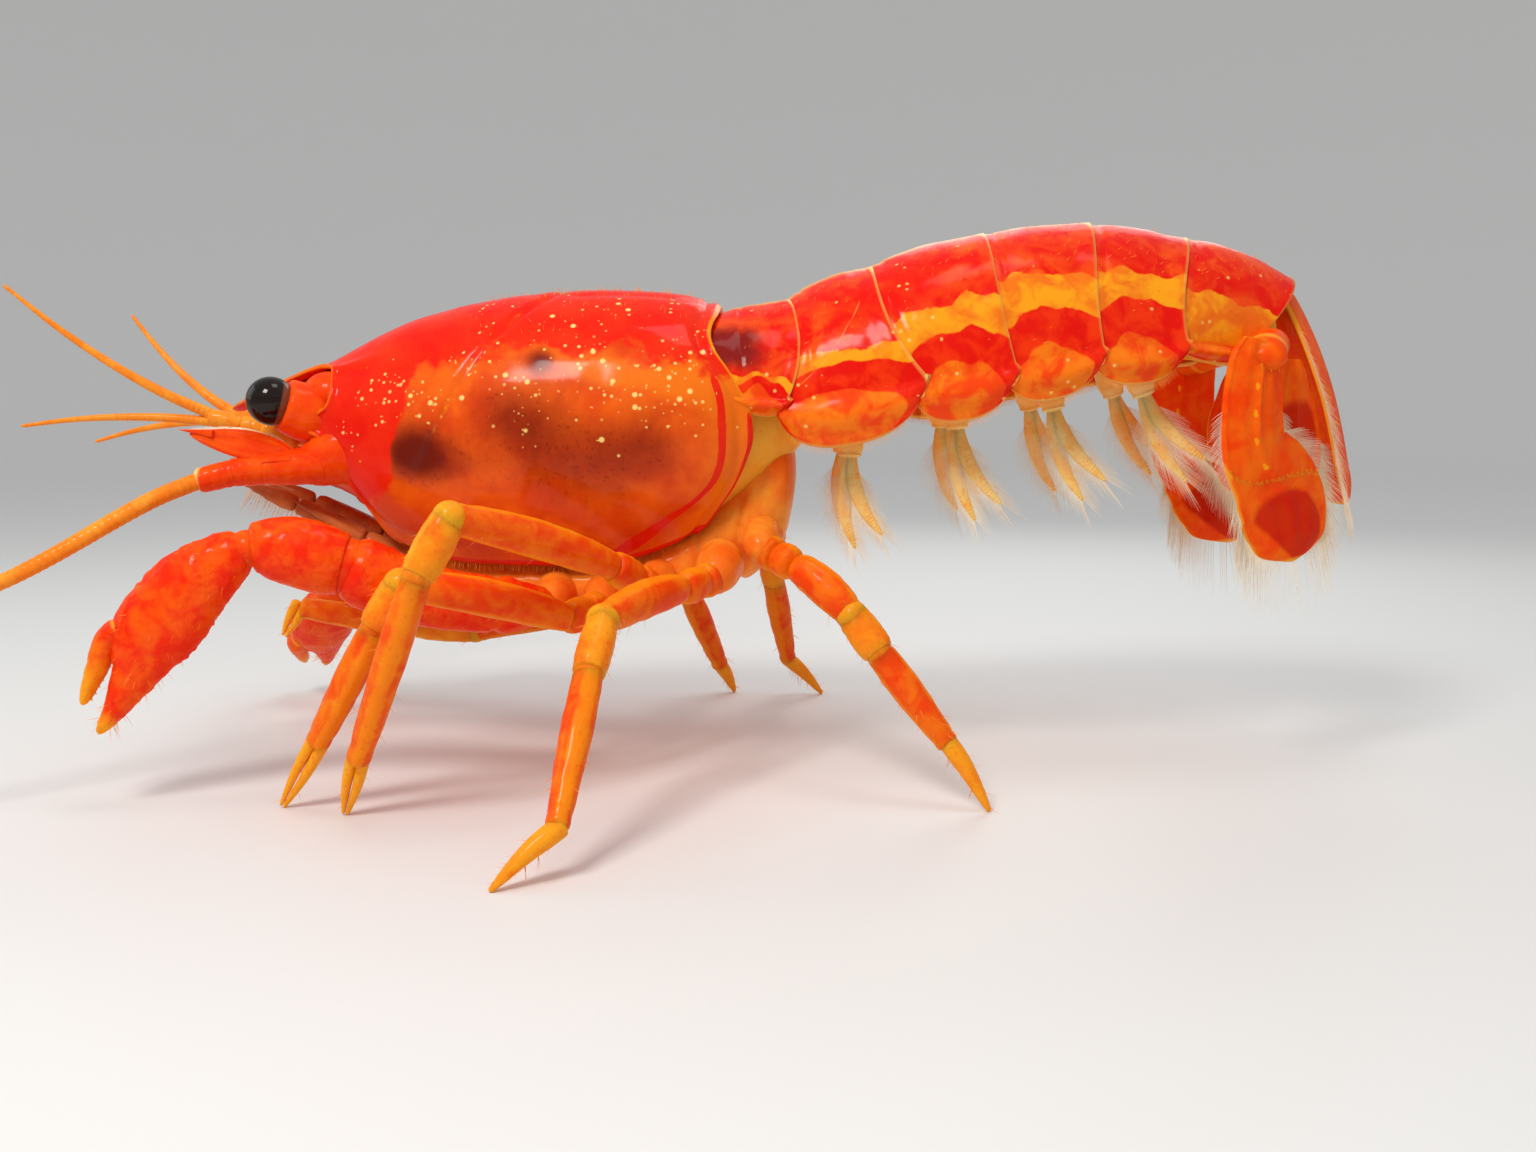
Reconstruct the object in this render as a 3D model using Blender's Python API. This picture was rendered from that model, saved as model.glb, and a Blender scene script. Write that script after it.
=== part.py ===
"""Orange dwarf crayfish, life size, standing on its walking legs with the tail fan cupped down.

Run with: blender --background --python part.py
The head points to -X, the animal's left side to -Y and up is +Z. The drawing is in millimetres,
with z = 0 on the floor under the feet, and every mesh is written in metres by finish().
"""

import math

import bmesh
import bpy
from mathutils import Matrix, Vector

MM = 0.001
GAP = 0.32              # clear space between touching pieces
SIDES = {"left": -1, "right": 1}

# Driving sizes of the shell
SHELL_FRONT = -12.75    # x of the carapace's front margin, behind the eyes
SHELL_BACK = -0.45      # x of the carapace's hindmost edge
ROSTRUM_TIP = Vector((-16.0, 0.0, 10.62))
ROSTRUM_HALF_WIDTH = 1.2
EYE_RADIUS = 0.7
EYE_CENTRE = Vector((-14.2, 2.2, 10.92))

# Outlines of the carapace, as (x, value)
SHELL_TOP = [(-12.75, 12.2), (-11.0, 13.1), (-9.5, 13.6), (-8.0, 13.92), (-6.5, 14.1), (-5.0, 14.18),
             (-3.5, 14.15), (-2.0, 13.94), (-1.2, 13.5), (-0.45, 12.0)]
SHELL_FOOT = [(-12.75, 8.9), (-11.9, 7.7), (-10.9, 6.75), (-9.5, 6.15), (-7.5, 6.0), (-5.2, 6.12),
              (-4.1, 6.5), (-3.0, 7.02), (-1.9, 7.68), (-1.1, 8.75), (-0.45, 10.3)]
SHELL_HALF = [(-12.75, 2.3), (-11.0, 2.95), (-9.0, 3.45), (-6.5, 3.85), (-4.0, 3.95), (-2.2, 3.9),
              (-1.1, 3.7), (-0.45, 3.45)]

# Joint lines of the abdomen seen from the side: top, middle and bottom, as (x, z), and the half width
JOINT_LINES = [
    ((-1.15, 13.55), (-1.2, 12.4), (-0.95, 11.2), 2.45),
    ((0.5, 13.88), (0.75, 12.4), (0.45, 11.0), 3.1),
    ((2.87, 14.8), (3.2, 13.1), (4.1, 11.6), 3.75),
    ((6.1, 15.75), (6.2, 14.0), (6.66, 11.95), 3.8),
    ((9.2, 16.1), (8.95, 14.2), (9.1, 12.4), 3.6),
    ((12.1, 15.7), (11.5, 14.1), (11.5, 12.6), 3.2),
    ((15.25, 14.6), (14.6, 13.6), (13.55, 12.4), 2.3),
]
LOBE_DROP = [0.25, 1.6, 1.4, 1.2, 1.1, 0.5]     # how far each side plate hangs below its joint lines
TERGITE_CROWN = [0.05, 0.22, 0.2, 0.12, 0.12, 0.25]  # how far each back plate arches between them
LOBE_THICKNESS = 0.6

COLOURS = {
    "shell": ((0.90, 0.10, 0.010, 1.0), 0.25),
    "underside": ((0.93, 0.30, 0.04, 1.0), 0.4),
    "claw": ((0.90, 0.11, 0.008, 1.0), 0.3),
    "leg": ((0.93, 0.24, 0.01, 1.0), 0.3),
    "feeler": ((0.90, 0.36, 0.05, 1.0), 0.35),
    "eye": ((0.02, 0.012, 0.01, 1.0), 0.08),
    "swimmeret": ((0.95, 0.55, 0.14, 1.0), 0.4),
}


def clear_scene():
    for obj in list(bpy.data.objects):
        bpy.data.objects.remove(obj)


def material(slot):
    made = bpy.data.materials.get(slot)
    if made is None:
        made = bpy.data.materials.new(slot)
        made.use_nodes = True
        shader = made.node_tree.nodes["Principled BSDF"]
        shader.inputs["Base Color"].default_value = COLOURS[slot][0]
        shader.inputs["Roughness"].default_value = COLOURS[slot][1]
        shader.inputs["Metallic"].default_value = 0.0
    return made


def along(points, at):
    """Value at a place on a smooth curve through (place, value) points."""
    places = [p[0] for p in points]
    values = [p[1] for p in points]
    last = len(points) - 1
    if at <= places[0]:
        return values[0]
    if at >= places[last]:
        return values[last]
    i = max(k for k in range(last) if places[k] <= at)
    span = places[i + 1] - places[i]
    t = (at - places[i]) / span
    before, after = max(i - 1, 0), min(i + 2, last)
    slope_in = (values[i + 1] - values[before]) / (places[i + 1] - places[before])
    slope_out = (values[after] - values[i]) / (places[after] - places[i])
    return (values[i] * (2 * t**3 - 3 * t**2 + 1) + values[i + 1] * (3 * t**2 - 2 * t**3)
            + span * (slope_in * (t**3 - 2 * t**2 + t) + slope_out * (t**3 - t**2)))


def spread(low, high, count):
    return [low + (high - low) * i / (count - 1) for i in range(count)]


def bowed(low, high, count):
    """Places from low to high that lie closer together at both ends."""
    return [low + (high - low) * 0.5 * (1 - math.cos(math.pi * i / (count - 1))) for i in range(count)]


def wrapped(rows, columns, place):
    """A closed skin of rings: place(row, column) gives each ring's points in turn."""
    bm = bmesh.new()
    bmesh.ops.create_grid(bm, x_segments=rows - 1, y_segments=columns, size=1.0)
    for vert in bm.verts:
        row = round((vert.co.x + 1) / 2 * (rows - 1))
        column = round((vert.co.y + 1) / 2 * columns) % columns
        vert.co = place(row, column)
    bmesh.ops.remove_doubles(bm, verts=bm.verts, dist=1e-4)
    bmesh.ops.holes_fill(bm, edges=[e for e in bm.edges if e.is_boundary])
    bmesh.ops.recalc_face_normals(bm, faces=bm.faces)
    return bm


def mesh_object(name, bm):
    bmesh.ops.triangulate(bm, faces=bm.faces)
    mesh = bpy.data.meshes.new(name)
    bm.to_mesh(mesh)
    bm.free()
    obj = bpy.data.objects.new(name, mesh)
    bpy.context.scene.collection.objects.link(obj)
    return obj


def limb(stations, sides=8, up=(0, 0, 1), flat_foot=False):
    """A closed tube through stations of (centre, half width, half height)."""
    centres = [Vector(s[0]) for s in stations]
    frames = []
    for i, centre in enumerate(centres):
        ahead = centres[min(i + 1, len(centres) - 1)] - centres[max(i - 1, 0)]
        if flat_foot and i == len(centres) - 1:
            ahead = Vector((0, 0, -1))
        ahead.normalize()
        guide = Vector((1, 0, 0)) if abs(ahead.dot(Vector(up))) > 0.96 else Vector(up)
        side = ahead.cross(guide).normalized()
        if frames and side.dot(frames[-1][0]) < 0:
            side = -side
        frames.append((side, side.cross(ahead).normalized()))

    def place(row, column):
        angle = 2 * math.pi * (column + 0.5) / sides
        side, lift = frames[row]
        return (centres[row] + side * stations[row][1] * math.cos(angle)
                + lift * stations[row][2] * math.sin(angle))

    return wrapped(len(stations), sides, place)


def stretch(start, end, radii, bow=0.0, lift=(0, 0, 1), flatness=1.0):
    """Stations of one limb segment from start to end, bowed a little, with its radii in turn."""
    start, end = Vector(start), Vector(end)
    made = []
    for i, radius in enumerate(radii):
        t = i / (len(radii) - 1)
        centre = start.lerp(end, t) + Vector(lift) * bow * 4 * t * (1 - t)
        made.append((centre, radius * flatness, radius))
    return made


def evaluated_mesh(obj):
    graph = bpy.context.evaluated_depsgraph_get()
    return bpy.data.meshes.new_from_object(obj.evaluated_get(graph))


def largest_part(mesh):
    """Leaves only the largest closed surface of a mesh."""
    bm = bmesh.new()
    bm.from_mesh(mesh)
    bmesh.ops.remove_doubles(bm, verts=bm.verts, dist=1e-4)
    left, groups = set(bm.verts), []
    while left:
        stack, group = [left.pop()], set()
        while stack:
            vert = stack.pop()
            group.add(vert)
            for edge in vert.link_edges:
                other = edge.other_vert(vert)
                if other in left:
                    left.discard(other)
                    stack.append(other)
        groups.append(group)
    groups.sort(key=len)
    bmesh.ops.delete(bm, geom=[v for group in groups[:-1] for v in group], context="VERTS")
    bmesh.ops.triangulate(bm, faces=bm.faces)
    bm.to_mesh(mesh)
    bm.free()


def combined(obj, others, operation, solver="EXACT"):
    """Joins others to obj, or cuts them from it, and removes them."""
    group = bpy.data.collections.new("pieces")
    bpy.context.scene.collection.children.link(group)
    for other in others:
        bpy.context.scene.collection.objects.unlink(other)
        group.objects.link(other)
    modifier = obj.modifiers.new(operation.lower(), "BOOLEAN")
    modifier.operation = operation
    modifier.operand_type = "COLLECTION"
    modifier.collection = group
    modifier.solver = solver
    mesh = evaluated_mesh(obj)
    obj.modifiers.clear()
    obj.data = mesh
    for other in others:
        bpy.data.objects.remove(other)
    bpy.data.collections.remove(group)
    largest_part(obj.data)
    return obj


def fused(name, shapes, solver="EXACT"):
    """One closed body from several closed shapes."""
    objects = [mesh_object(f"{name}.{i}", shape) for i, shape in enumerate(shapes)]
    whole = objects[0]
    if len(objects) > 1:
        combined(whole, objects[1:], "UNION", solver)
    whole.name = name
    return whole


def carved(obj, cutters, solver="EXACT"):
    """Cuts closed shapes out of obj."""
    return combined(obj, [mesh_object("cutter", c) for c in cutters], "DIFFERENCE", solver)


def finish(obj, slot):
    """Gives a node its material and round shading, and its mesh in metres."""
    obj.data.materials.clear()
    obj.data.materials.append(material(slot))
    obj.data.transform(Matrix.Scale(MM, 4))
    obj.data.shade_smooth()
    obj.data.set_sharp_from_angle(angle=math.radians(35))
    return obj


def node(name, slot, *shapes):
    return finish(fused(name, shapes), slot)


def mirrored(point, side):
    """A point given for the right side, on the side asked for."""
    return Vector((point[0], point[1] * side, point[2]))


def ball(centre, radius, stretch_by=(1, 1, 1), across=14, rings=9):
    bm = bmesh.new()
    bmesh.ops.create_uvsphere(bm, u_segments=across, v_segments=rings, radius=radius)
    bmesh.ops.scale(bm, verts=bm.verts, vec=stretch_by)
    bmesh.ops.translate(bm, verts=bm.verts, vec=centre)
    return bm


def shell_ring(x, column, columns):
    """A point of the carapace's skin: an egg-shaped section, fuller above and drawn in below."""
    top, foot, half = along(SHELL_TOP, x), along(SHELL_FOOT, x), along(SHELL_HALF, x)
    widest = foot + 0.52 * (top - foot)
    angle = 2 * math.pi * column / columns
    across, rise = math.sin(angle), math.cos(angle)
    if rise >= 0:
        y = half * math.copysign(abs(across) ** 0.92, across)
        return Vector((x, y, widest + (top - widest) * rise ** 1.05))
    squareness = 0.72
    y = half * math.copysign(abs(across) ** squareness, across) * (1 - 0.14 * rise * rise)
    return Vector((x, y, widest - (widest - foot) * (-rise) ** squareness))


def carapace():
    """The shell over head and thorax, with its beak, open at the back for the abdomen's first ring."""
    columns = 26
    places = bowed(SHELL_FRONT, SHELL_BACK, 17)
    skin = wrapped(len(places), columns, lambda row, column: shell_ring(places[row], column, columns))
    beak_back = Vector((SHELL_FRONT + 1.6, 0, along(SHELL_TOP, SHELL_FRONT + 1.6) - 0.75))
    beak_root = Vector((SHELL_FRONT - 0.1, 0, along(SHELL_TOP, SHELL_FRONT) - 0.42))
    beak = limb([(beak_back, 1.7, 0.5),
                 (beak_root, ROSTRUM_HALF_WIDTH, 0.38),
                 (beak_root.lerp(ROSTRUM_TIP, 0.4), 0.85, 0.33),
                 (beak_root.lerp(ROSTRUM_TIP, 0.75), 0.55, 0.28),
                 (ROSTRUM_TIP, 0.14, 0.16)], sides=10)
    shell = fused("carapace", [skin, beak])
    return finish(carved(shell, [ring_shape(0, GAP * 1.1)]), "shell")


def section_point(half, top, foot, x, column, columns):
    """A point of a rounded upright section at x."""
    angle = 2 * math.pi * column / columns
    y = half * math.copysign(abs(math.sin(angle)) ** 0.8, math.sin(angle))
    z = (top + foot) / 2 + (top - foot) / 2 * math.copysign(abs(math.cos(angle)) ** 0.9, math.cos(angle))
    return Vector((x, y, z))


def lofted_sections(sections, columns=16):
    """A body of upright sections, each (x, foot, top, half width)."""
    return wrapped(len(sections), columns, lambda row, column: section_point(
        sections[row][3], sections[row][2], sections[row][1], sections[row][0], column, columns))


def head():
    """The front of the head under the beak: the mouth frame and a ridge between the eyes."""
    face = SHELL_FRONT - GAP
    frame = lofted_sections([(face, 8.45, 10.0, 1.15), (face - 0.4, 8.25, 9.9, 1.15),
                             (face - 0.8, 8.3, 9.7, 1.0), (face - 1.15, 8.6, 9.35, 0.7)])
    ridge = lofted_sections([(face, 9.2, 10.9, 0.5), (face - 0.4, 9.2, 10.75, 0.5),
                             (face - 0.75, 9.3, 10.5, 0.45), (face - 1.1, 9.4, 10.2, 0.4)], 12)
    return node("head", "shell", frame, ridge)


# Round bases of the legs along the underside, given for the right side: (x, y, z), radius
COXAE = [((-6.15, 2.6, 5.1), 0.66), ((-4.75, 2.7, 5.12), 0.6), ((-3.2, 2.85, 5.5), 0.62),
         ((-1.4, 3.1, 6.0), 0.72), ((-0.15, 2.8, 6.75), 0.6)]
UNDERSIDE = [(-11.2, 5.35, 5.72, 0.8), (-10.2, 5.0, 5.7, 1.3), (-8.5, 4.7, 5.68, 1.8),
             (-6.5, 4.5, 5.64, 2.15), (-4.6, 4.55, 5.8, 2.3), (-3.2, 4.7, 6.42, 2.35),
             (-2.0, 4.95, 7.1, 2.35), (-1.1, 5.25, 8.2, 2.3), (-0.3, 5.7, 9.7, 2.2),
             (0.35, 6.3, 10.15, 2.05), (0.85, 7.6, 10.15, 1.7)]


def underside():
    """The plates under the thorax with the legs' bases, rising at the back to meet the abdomen."""
    bases = [ball(mirrored(c, side), r, across=10, rings=7) for c, r in COXAE for side in SIDES.values()]
    body = fused("thorax_underside", [lofted_sections(UNDERSIDE, 18)] + bases)
    trim = wrapped(17, 26, lambda row, column: grown_shell(bowed(SHELL_FRONT, SHELL_BACK, 17)[row], column, 26))
    finish(carved(body, [trim]), "underside")


def grown_shell(x, column, columns):
    """A point of the carapace's skin moved out by the gap, to cut clear space beside it."""
    point = shell_ring(x, column, columns)
    low, high = along(SHELL_FOOT, x), along(SHELL_TOP, x)
    middle = Vector((x, 0, low + 0.52 * (high - low)))
    return point + (point - middle).normalized() * GAP * 1.3


def leg_room():
    """Closed shapes that keep a leg's root clear of the underside and its bases."""
    shapes = [ball(mirrored(c, side), r + GAP, across=10, rings=7) for c, r in COXAE for side in SIDES.values()]
    grown = [(x, low - GAP, high + 0.1, half + GAP) for x, low, high, half in UNDERSIDE]
    return shapes + [lofted_sections(grown, 18)]


def swollen(stations, grow=0.36):
    """Stations of the same limb with clear space around it and beyond its ends."""
    centres = [Vector(s[0]) for s in stations]
    centres[0] = centres[0] - (centres[1] - centres[0]).normalized() * grow
    centres[-1] = centres[-1] + (centres[-1] - centres[-2]).normalized() * grow
    return [(c, s[1] + grow, s[2] + grow) for c, s in zip(centres, stations)]


def eye(word, side):
    centre = mirrored(EYE_CENTRE, side)
    root = mirrored((-13.36, 1.62, 10.38), side)
    ahead = (centre - root).normalized()
    finish(fused(f"eye_{word}", [ball(centre, EYE_RADIUS)]), "eye")
    stalk = fused(f"eye_stalk_{word}", [limb([
        (root, 0.42, 0.46), (root + ahead * 0.25, 0.6, 0.64), (root + ahead * 0.6, 0.68, 0.71),
        (centre + ahead * 0.05, 0.66, 0.7)], sides=12)])
    finish(carved(stalk, [ball(centre, EYE_RADIUS + GAP, across=18, rings=12)]), "shell")


def antennule(word, side, outer_tip, inner_tip):
    """Small feeler: a jointed stalk beside the beak that splits into two whips."""
    root = mirrored((-14.6, 0.8, 9.85), side)
    end = mirrored((-16.5, 0.98, 10.45), side)
    stalk = limb([(root, 0.32, 0.32), (root.lerp(end, 0.3), 0.37, 0.37), (root.lerp(end, 0.55), 0.3, 0.3),
                  (root.lerp(end, 0.75), 0.33, 0.33), (end, 0.27, 0.27)])
    start = root.lerp(end, 0.86)
    outer = whip(start + Vector((0, 0, 0.08)), outer_tip, 0.25, 0.12, (0, 0, -0.35), 9)
    inner = whip(start - Vector((0, 0, 0.1)), inner_tip, 0.25, 0.1, (0, 0, 0.2), 8)
    node(f"antennule_{word}", "feeler", stalk, outer, inner)


def whip(start, tip, thick, thin, sag, count, sides=6):
    """A thin feeler from start to tip that bows by sag."""
    start, tip, sag = Vector(start), Vector(tip), Vector(sag)
    stations = []
    for t in spread(0, 1, count):
        radius = thick + (thin - thick) * t ** 1.5
        stations.append((start.lerp(tip, t) + sag * 4 * t * (1 - t), radius, radius))
    return limb(stations, sides)


def antenna(word, side, route):
    """Long feeler: a jointed base with its side scale, and a whip along route."""
    joints = [((-13.2, 2.1, 8.95), 0.46), ((-13.65, 2.2, 8.95), 0.52), ((-14.15, 2.4, 9.0), 0.44),
              ((-14.6, 2.62, 8.98), 0.4), ((-15.05, 2.8, 8.94), 0.35), ((-15.6, 3.0, 8.82), 0.33),
              ((-16.05, 3.18, 8.68), 0.28)]
    base = limb([(mirrored(p, side), r, r) for p, r in joints], sides=10)
    scale = [((-13.7, 2.3, 9.25), 0.3, 0.3), ((-14.2, 2.45, 9.6), 0.42, 0.26), ((-14.8, 2.6, 9.8), 0.52, 0.26),
             ((-15.4, 2.75, 9.92), 0.4, 0.24), ((-15.9, 2.85, 10.0), 0.24, 0.2), ((-16.3, 2.92, 10.04), 0.1, 0.12)]
    node(f"antenna_base_{word}", "shell", base, limb([(mirrored(p, side), a, b) for p, a, b in scale], sides=8))
    end = mirrored(joints[-1][0], side)
    points = [end + (Vector(route[0]) - end).normalized() * (GAP + 0.2)] + [Vector(p) for p in route]
    node(f"antenna_whip_{word}", "feeler", limb(route_stations(points, 0.27, 0.12, 22), sides=6))


def route_stations(points, thick, thin, count):
    """Stations of a tapering whip on a smooth curve through a few points."""
    lengths = [0.0]
    for before, after in zip(points, points[1:]):
        lengths.append(lengths[-1] + (after - before).length)
    stations = []
    for at in spread(0, lengths[-1], count):
        centre = Vector([along(list(zip(lengths, [p[k] for p in points])), at) for k in range(3)])
        radius = thick + (thin - thick) * (at / lengths[-1]) ** 1.3
        stations.append((centre, radius, radius))
    return stations


MOUTH_LEG = [((-11.6, 1.0, 5.95), 0.4), ((-12.3, 0.98, 6.5), 0.45), ((-13.3, 0.9, 7.15), 0.38),
             ((-14.1, 0.85, 7.55), 0.36), ((-14.9, 0.78, 7.95), 0.3), ((-15.6, 0.7, 8.3), 0.16)]


def mouth_leg(word, side):
    """Third maxilliped: a bristly jaw leg that lies forward under the head."""
    node(f"mouth_leg_{word}", "leg", limb([(mirrored(p, side), r * 0.9, r) for p, r in MOUTH_LEG], sides=8))


# Claw-bearing legs: the arm's stations, wrist and hand joints, the tip and where the moving finger lies
CLAW_ARMS = {
    "left": {"arm": [((-6.15, -2.6, 5.1), 0.46), ((-6.5, -3.1, 5.15), 0.55), ((-7.3, -3.75, 5.25), 0.76),
                     ((-8.8, -4.15, 5.45), 0.84), ((-10.2, -4.45, 5.85), 0.92), ((-11.1, -4.68, 6.3), 0.94),
                     ((-11.55, -4.8, 6.5), 0.8)],
             "wrist": [((-11.55, -4.8, 6.5), 0.7), ((-12.2, -4.92, 6.7), 0.98), ((-12.7, -5.0, 6.87), 0.97),
                       ((-13.2, -5.1, 6.97), 0.9), ((-13.6, -5.2, 7.02), 0.74), ((-13.9, -5.3, 7.0), 0.5)],
             "hand": (-13.77, -5.35, 6.99), "tip": (-17.85, -6.1, 2.12), "finger_side": (-1.0, 0.05, 0.85)},
    "right": {"arm": [((-6.15, 2.6, 5.1), 0.46), ((-6.6, 3.1, 5.0), 0.55), ((-7.6, 3.6, 4.85), 0.7),
                      ((-9.4, 4.1, 4.85), 0.78), ((-11.0, 4.5, 5.05), 0.84), ((-12.2, 4.8, 5.2), 0.82),
                      ((-12.7, 4.95, 5.25), 0.7)],
              "wrist": [((-12.7, 4.95, 5.25), 0.6), ((-13.2, 5.1, 5.3), 0.86), ((-13.8, 5.4, 5.1), 0.88),
                        ((-14.2, 5.8, 4.8), 0.74), ((-14.45, 6.1, 4.5), 0.5)],
              "hand": (-14.4, 6.0, 4.55), "tip": (-16.85, 10.5, 1.0), "finger_side": (-1.0, -0.35, -0.1)},
}
# The hand, from its joint to the fixed finger's tip: distance along, offset to the moving finger's
# side, half width, half depth
HAND = [(0.1, 0.22, 0.45, 0.42), (0.4, 0.33, 0.66, 0.5), (1.05, 0.48, 0.86, 0.6), (1.6, 0.6, 1.0, 0.66),
        (2.1, 0.64, 1.07, 0.68), (2.65, 0.61, 1.11, 0.68), (3.3, 0.6, 1.13, 0.66), (3.8, 0.6, 1.1, 0.6),
        (4.25, 0.45, 0.92, 0.52), (4.6, 0.33, 0.72, 0.46), (5.0, 0.2, 0.5, 0.4), (5.55, 0.08, 0.32, 0.32),
        (6.0, 0.03, 0.22, 0.24), (6.38, 0.0, 0.08, 0.1)]
FINGER = [(4.15, 1.36, 0.27, 0.4), (4.5, 1.32, 0.32, 0.43), (4.9, 1.16, 0.29, 0.4), (5.4, 1.02, 0.24, 0.32),
          (5.75, 0.9, 0.18, 0.22), (6.0, 0.82, 0.08, 0.1)]


def claw_leg(word, joints):
    """A claw-bearing leg: arm, wrist, hand with its fixed finger, and the moving finger."""
    arm = [(p, r, r) for p, r in joints["arm"]]
    wrist = [(p, r, r) for p, r in joints["wrist"]]
    finish(carved(fused(f"claw_arm_{word}", [limb(arm, 10)]), leg_room()), "claw")
    finish(carved(fused(f"claw_wrist_{word}", [limb(wrist, 10)]), [limb(swollen(arm), 10)]), "claw")
    hand, tip = Vector(joints["hand"]), Vector(joints["tip"])
    ahead = (tip - hand).normalized()
    across = Vector(joints["finger_side"])
    across = (across - ahead * across.dot(ahead)).normalized()
    through = ahead.cross(across).normalized()
    scale = (tip - hand).length / HAND[-1][0]

    def stations(table):
        return [(hand + (ahead * s + across * t) * scale, half * scale, deep * scale)
                for s, t, half, deep in table]

    palm = limb(stations(HAND), 12, up=tuple(through))
    room = [limb(swollen(stations(FINGER)), 8, up=tuple(through)), limb(swollen(wrist), 10)]
    finish(carved(fused(f"claw_hand_{word}", [palm]), room), "claw")
    node(f"claw_finger_{word}", "claw", limb(stations(FINGER), 8, up=tuple(through)))


# Walking legs: base, end of the short first piece, knee, ends of the carpus and propodus, foot
WALKING_LEGS = {
    "leg_2_left": [(-4.75, -2.7, 5.12), (-5.4, -4.45, 4.95), (-9.55, -6.6, 6.2), (-10.25, -6.7, 5.0),
                   (-11.75, -6.2, 2.3), (-13.14, -5.75, 0.0)],
    "leg_2_right": [(-4.75, 2.7, 5.12), (-5.6, 4.5, 3.95), (-10.0, 5.1, 3.15), (-12.0, 4.7, 3.4),
                    (-15.5, 4.0, 4.35), (-16.2, 4.0, 3.1)],
    "leg_3_left": [(-3.2, -2.85, 5.5), (-4.15, -4.6, 6.42), (-7.9, -8.1, 8.05), (-8.65, -8.55, 6.6),
                   (-10.6, -7.05, 1.95), (-11.24, -6.45, 0.0)],
    "leg_3_right": [(-3.2, 2.85, 5.5), (-4.6, 4.4, 5.9), (-11.4, 6.9, 7.3), (-12.1, 7.3, 5.9),
                    (-13.9, 8.0, 1.5), (-14.39, 8.1, 0.0)],
    "leg_4_left": [(-1.4, -3.1, 6.0), (-2.3, -4.8, 5.86), (-4.15, -7.9, 5.45), (-4.38, -9.2, 4.3),
                   (-4.85, -11.7, 1.15), (-6.24, -12.6, 0.0)],
    "leg_4_right": [(-1.4, 3.1, 6.0), (-2.2, 4.6, 6.0), (-3.1, 6.4, 5.6), (-2.85, 7.3, 4.2),
                    (-1.75, 9.3, 1.1), (-1.25, 9.95, 0.0)],
    "leg_5_left": [(-0.15, -2.8, 6.75), (0.7, -3.75, 6.4), (2.3, -4.75, 5.1), (3.05, -5.15, 4.1),
                   (4.9, -5.8, 1.7), (5.94, -6.17, 0.0)],
    "leg_5_right": [(-0.15, 2.8, 6.75), (0.15, 4.0, 6.6), (0.1, 5.9, 5.9), (0.2, 6.8, 4.6),
                    (0.75, 8.95, 1.4), (2.03, 9.58, 0.0)],
}
FOOT_HALF = 0.24        # half width of the small flat under each foot


def walking_leg(name, joints):
    """A walking leg in two nodes: the upper leg to the knee, and the lower leg to the foot."""
    root, short, knee, carpus, shank, foot = (Vector(p) for p in joints)
    upper = ([(root, 0.4, 0.42), (root.lerp(short, 0.65), 0.48, 0.5), (short, 0.42, 0.44)]
             + stretch(short, knee, [0.42, 0.47, 0.5, 0.47, 0.36], 0.12)[1:])
    finish(carved(fused(f"{name}_upper", [limb(upper)]), leg_room()), "leg")
    lower = stretch(knee, carpus, [0.34, 0.46, 0.42]) + stretch(carpus, shank, [0.42, 0.44, 0.39, 0.32])[1:]
    stands = foot.z < 0.01
    lower += [(shank.lerp(foot, 0.6), 0.27, 0.28), (foot, FOOT_HALF, FOOT_HALF) if stands else (foot, 0.12, 0.12)]
    finish(carved(fused(f"{name}_lower", [limb(lower, flat_foot=stands)]), [limb(swollen(upper))]), "leg")


def joint_point(line, h):
    """Point at height share h, 0 at the back's crown and 1 at the foot, on a joint line."""
    top, middle, foot = (Vector((p[0], 0, p[1])) for p in line[:3])
    return top * (1 - h) * (1 - 2 * h) + middle * 4 * h * (1 - h) + foot * h * (2 * h - 1)


def ring_shape(index, grow=0.0):
    """One ring of the abdomen: the arched back plate with a hanging lobe on each side and a belly."""
    front, back = JOINT_LINES[index], JOINT_LINES[index + 1]
    length = (joint_point(back, 0.3) - joint_point(front, 0.3)).length
    edge = (GAP * 0.58 - grow) / length
    places = bowed(edge, 1 - edge, 8)
    heights = [("lobe", 1.0), ("lobe", 0.5)] + [("arch", h) for h in (1.0, 0.82, 0.62, 0.42, 0.22, 0.08)]
    outer = [(kind, h, -1) for kind, h in heights] + [("arch", 0.0, 0)] \
        + [(kind, h, 1) for kind, h in reversed(heights)]
    inner = [("inner_lobe", 1.0, 1), ("belly", 0.86, 1), ("belly", 0.84, 0), ("belly", 0.86, -1),
             ("inner_lobe", 1.0, -1)]
    around = outer + inner

    def place(row, column):
        s = places[row]
        kind, h, side = around[column]
        half = front[3] + (back[3] - front[3]) * s + grow
        drop = LOBE_DROP[index] * math.sqrt(max(0.0, 1 - (2 * s - 1) ** 2)) + 0.02
        point = joint_point(front, h if kind in ("arch", "belly") else 1).lerp(
            joint_point(back, h if kind in ("arch", "belly") else 1), s)
        if kind == "arch":
            point.z += (TERGITE_CROWN[index] * 4 * s * (1 - s) + grow) * (1 - h)
            point.y = side * half * (1 - (1 - h) ** 2.1) ** (1 / 2.1)
        elif kind == "lobe":
            point.z -= (drop + grow) * h
            point.y = side * (half - 0.05 * h)
        elif kind == "inner_lobe":
            point.z -= drop + grow
            point.y = side * (half - LOBE_THICKNESS - 2 * grow)
        else:
            point.z -= grow
            point.y = side * (half - LOBE_THICKNESS - 0.15 - 2 * grow)
        return point

    return wrapped(len(places), len(around), place)


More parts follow.
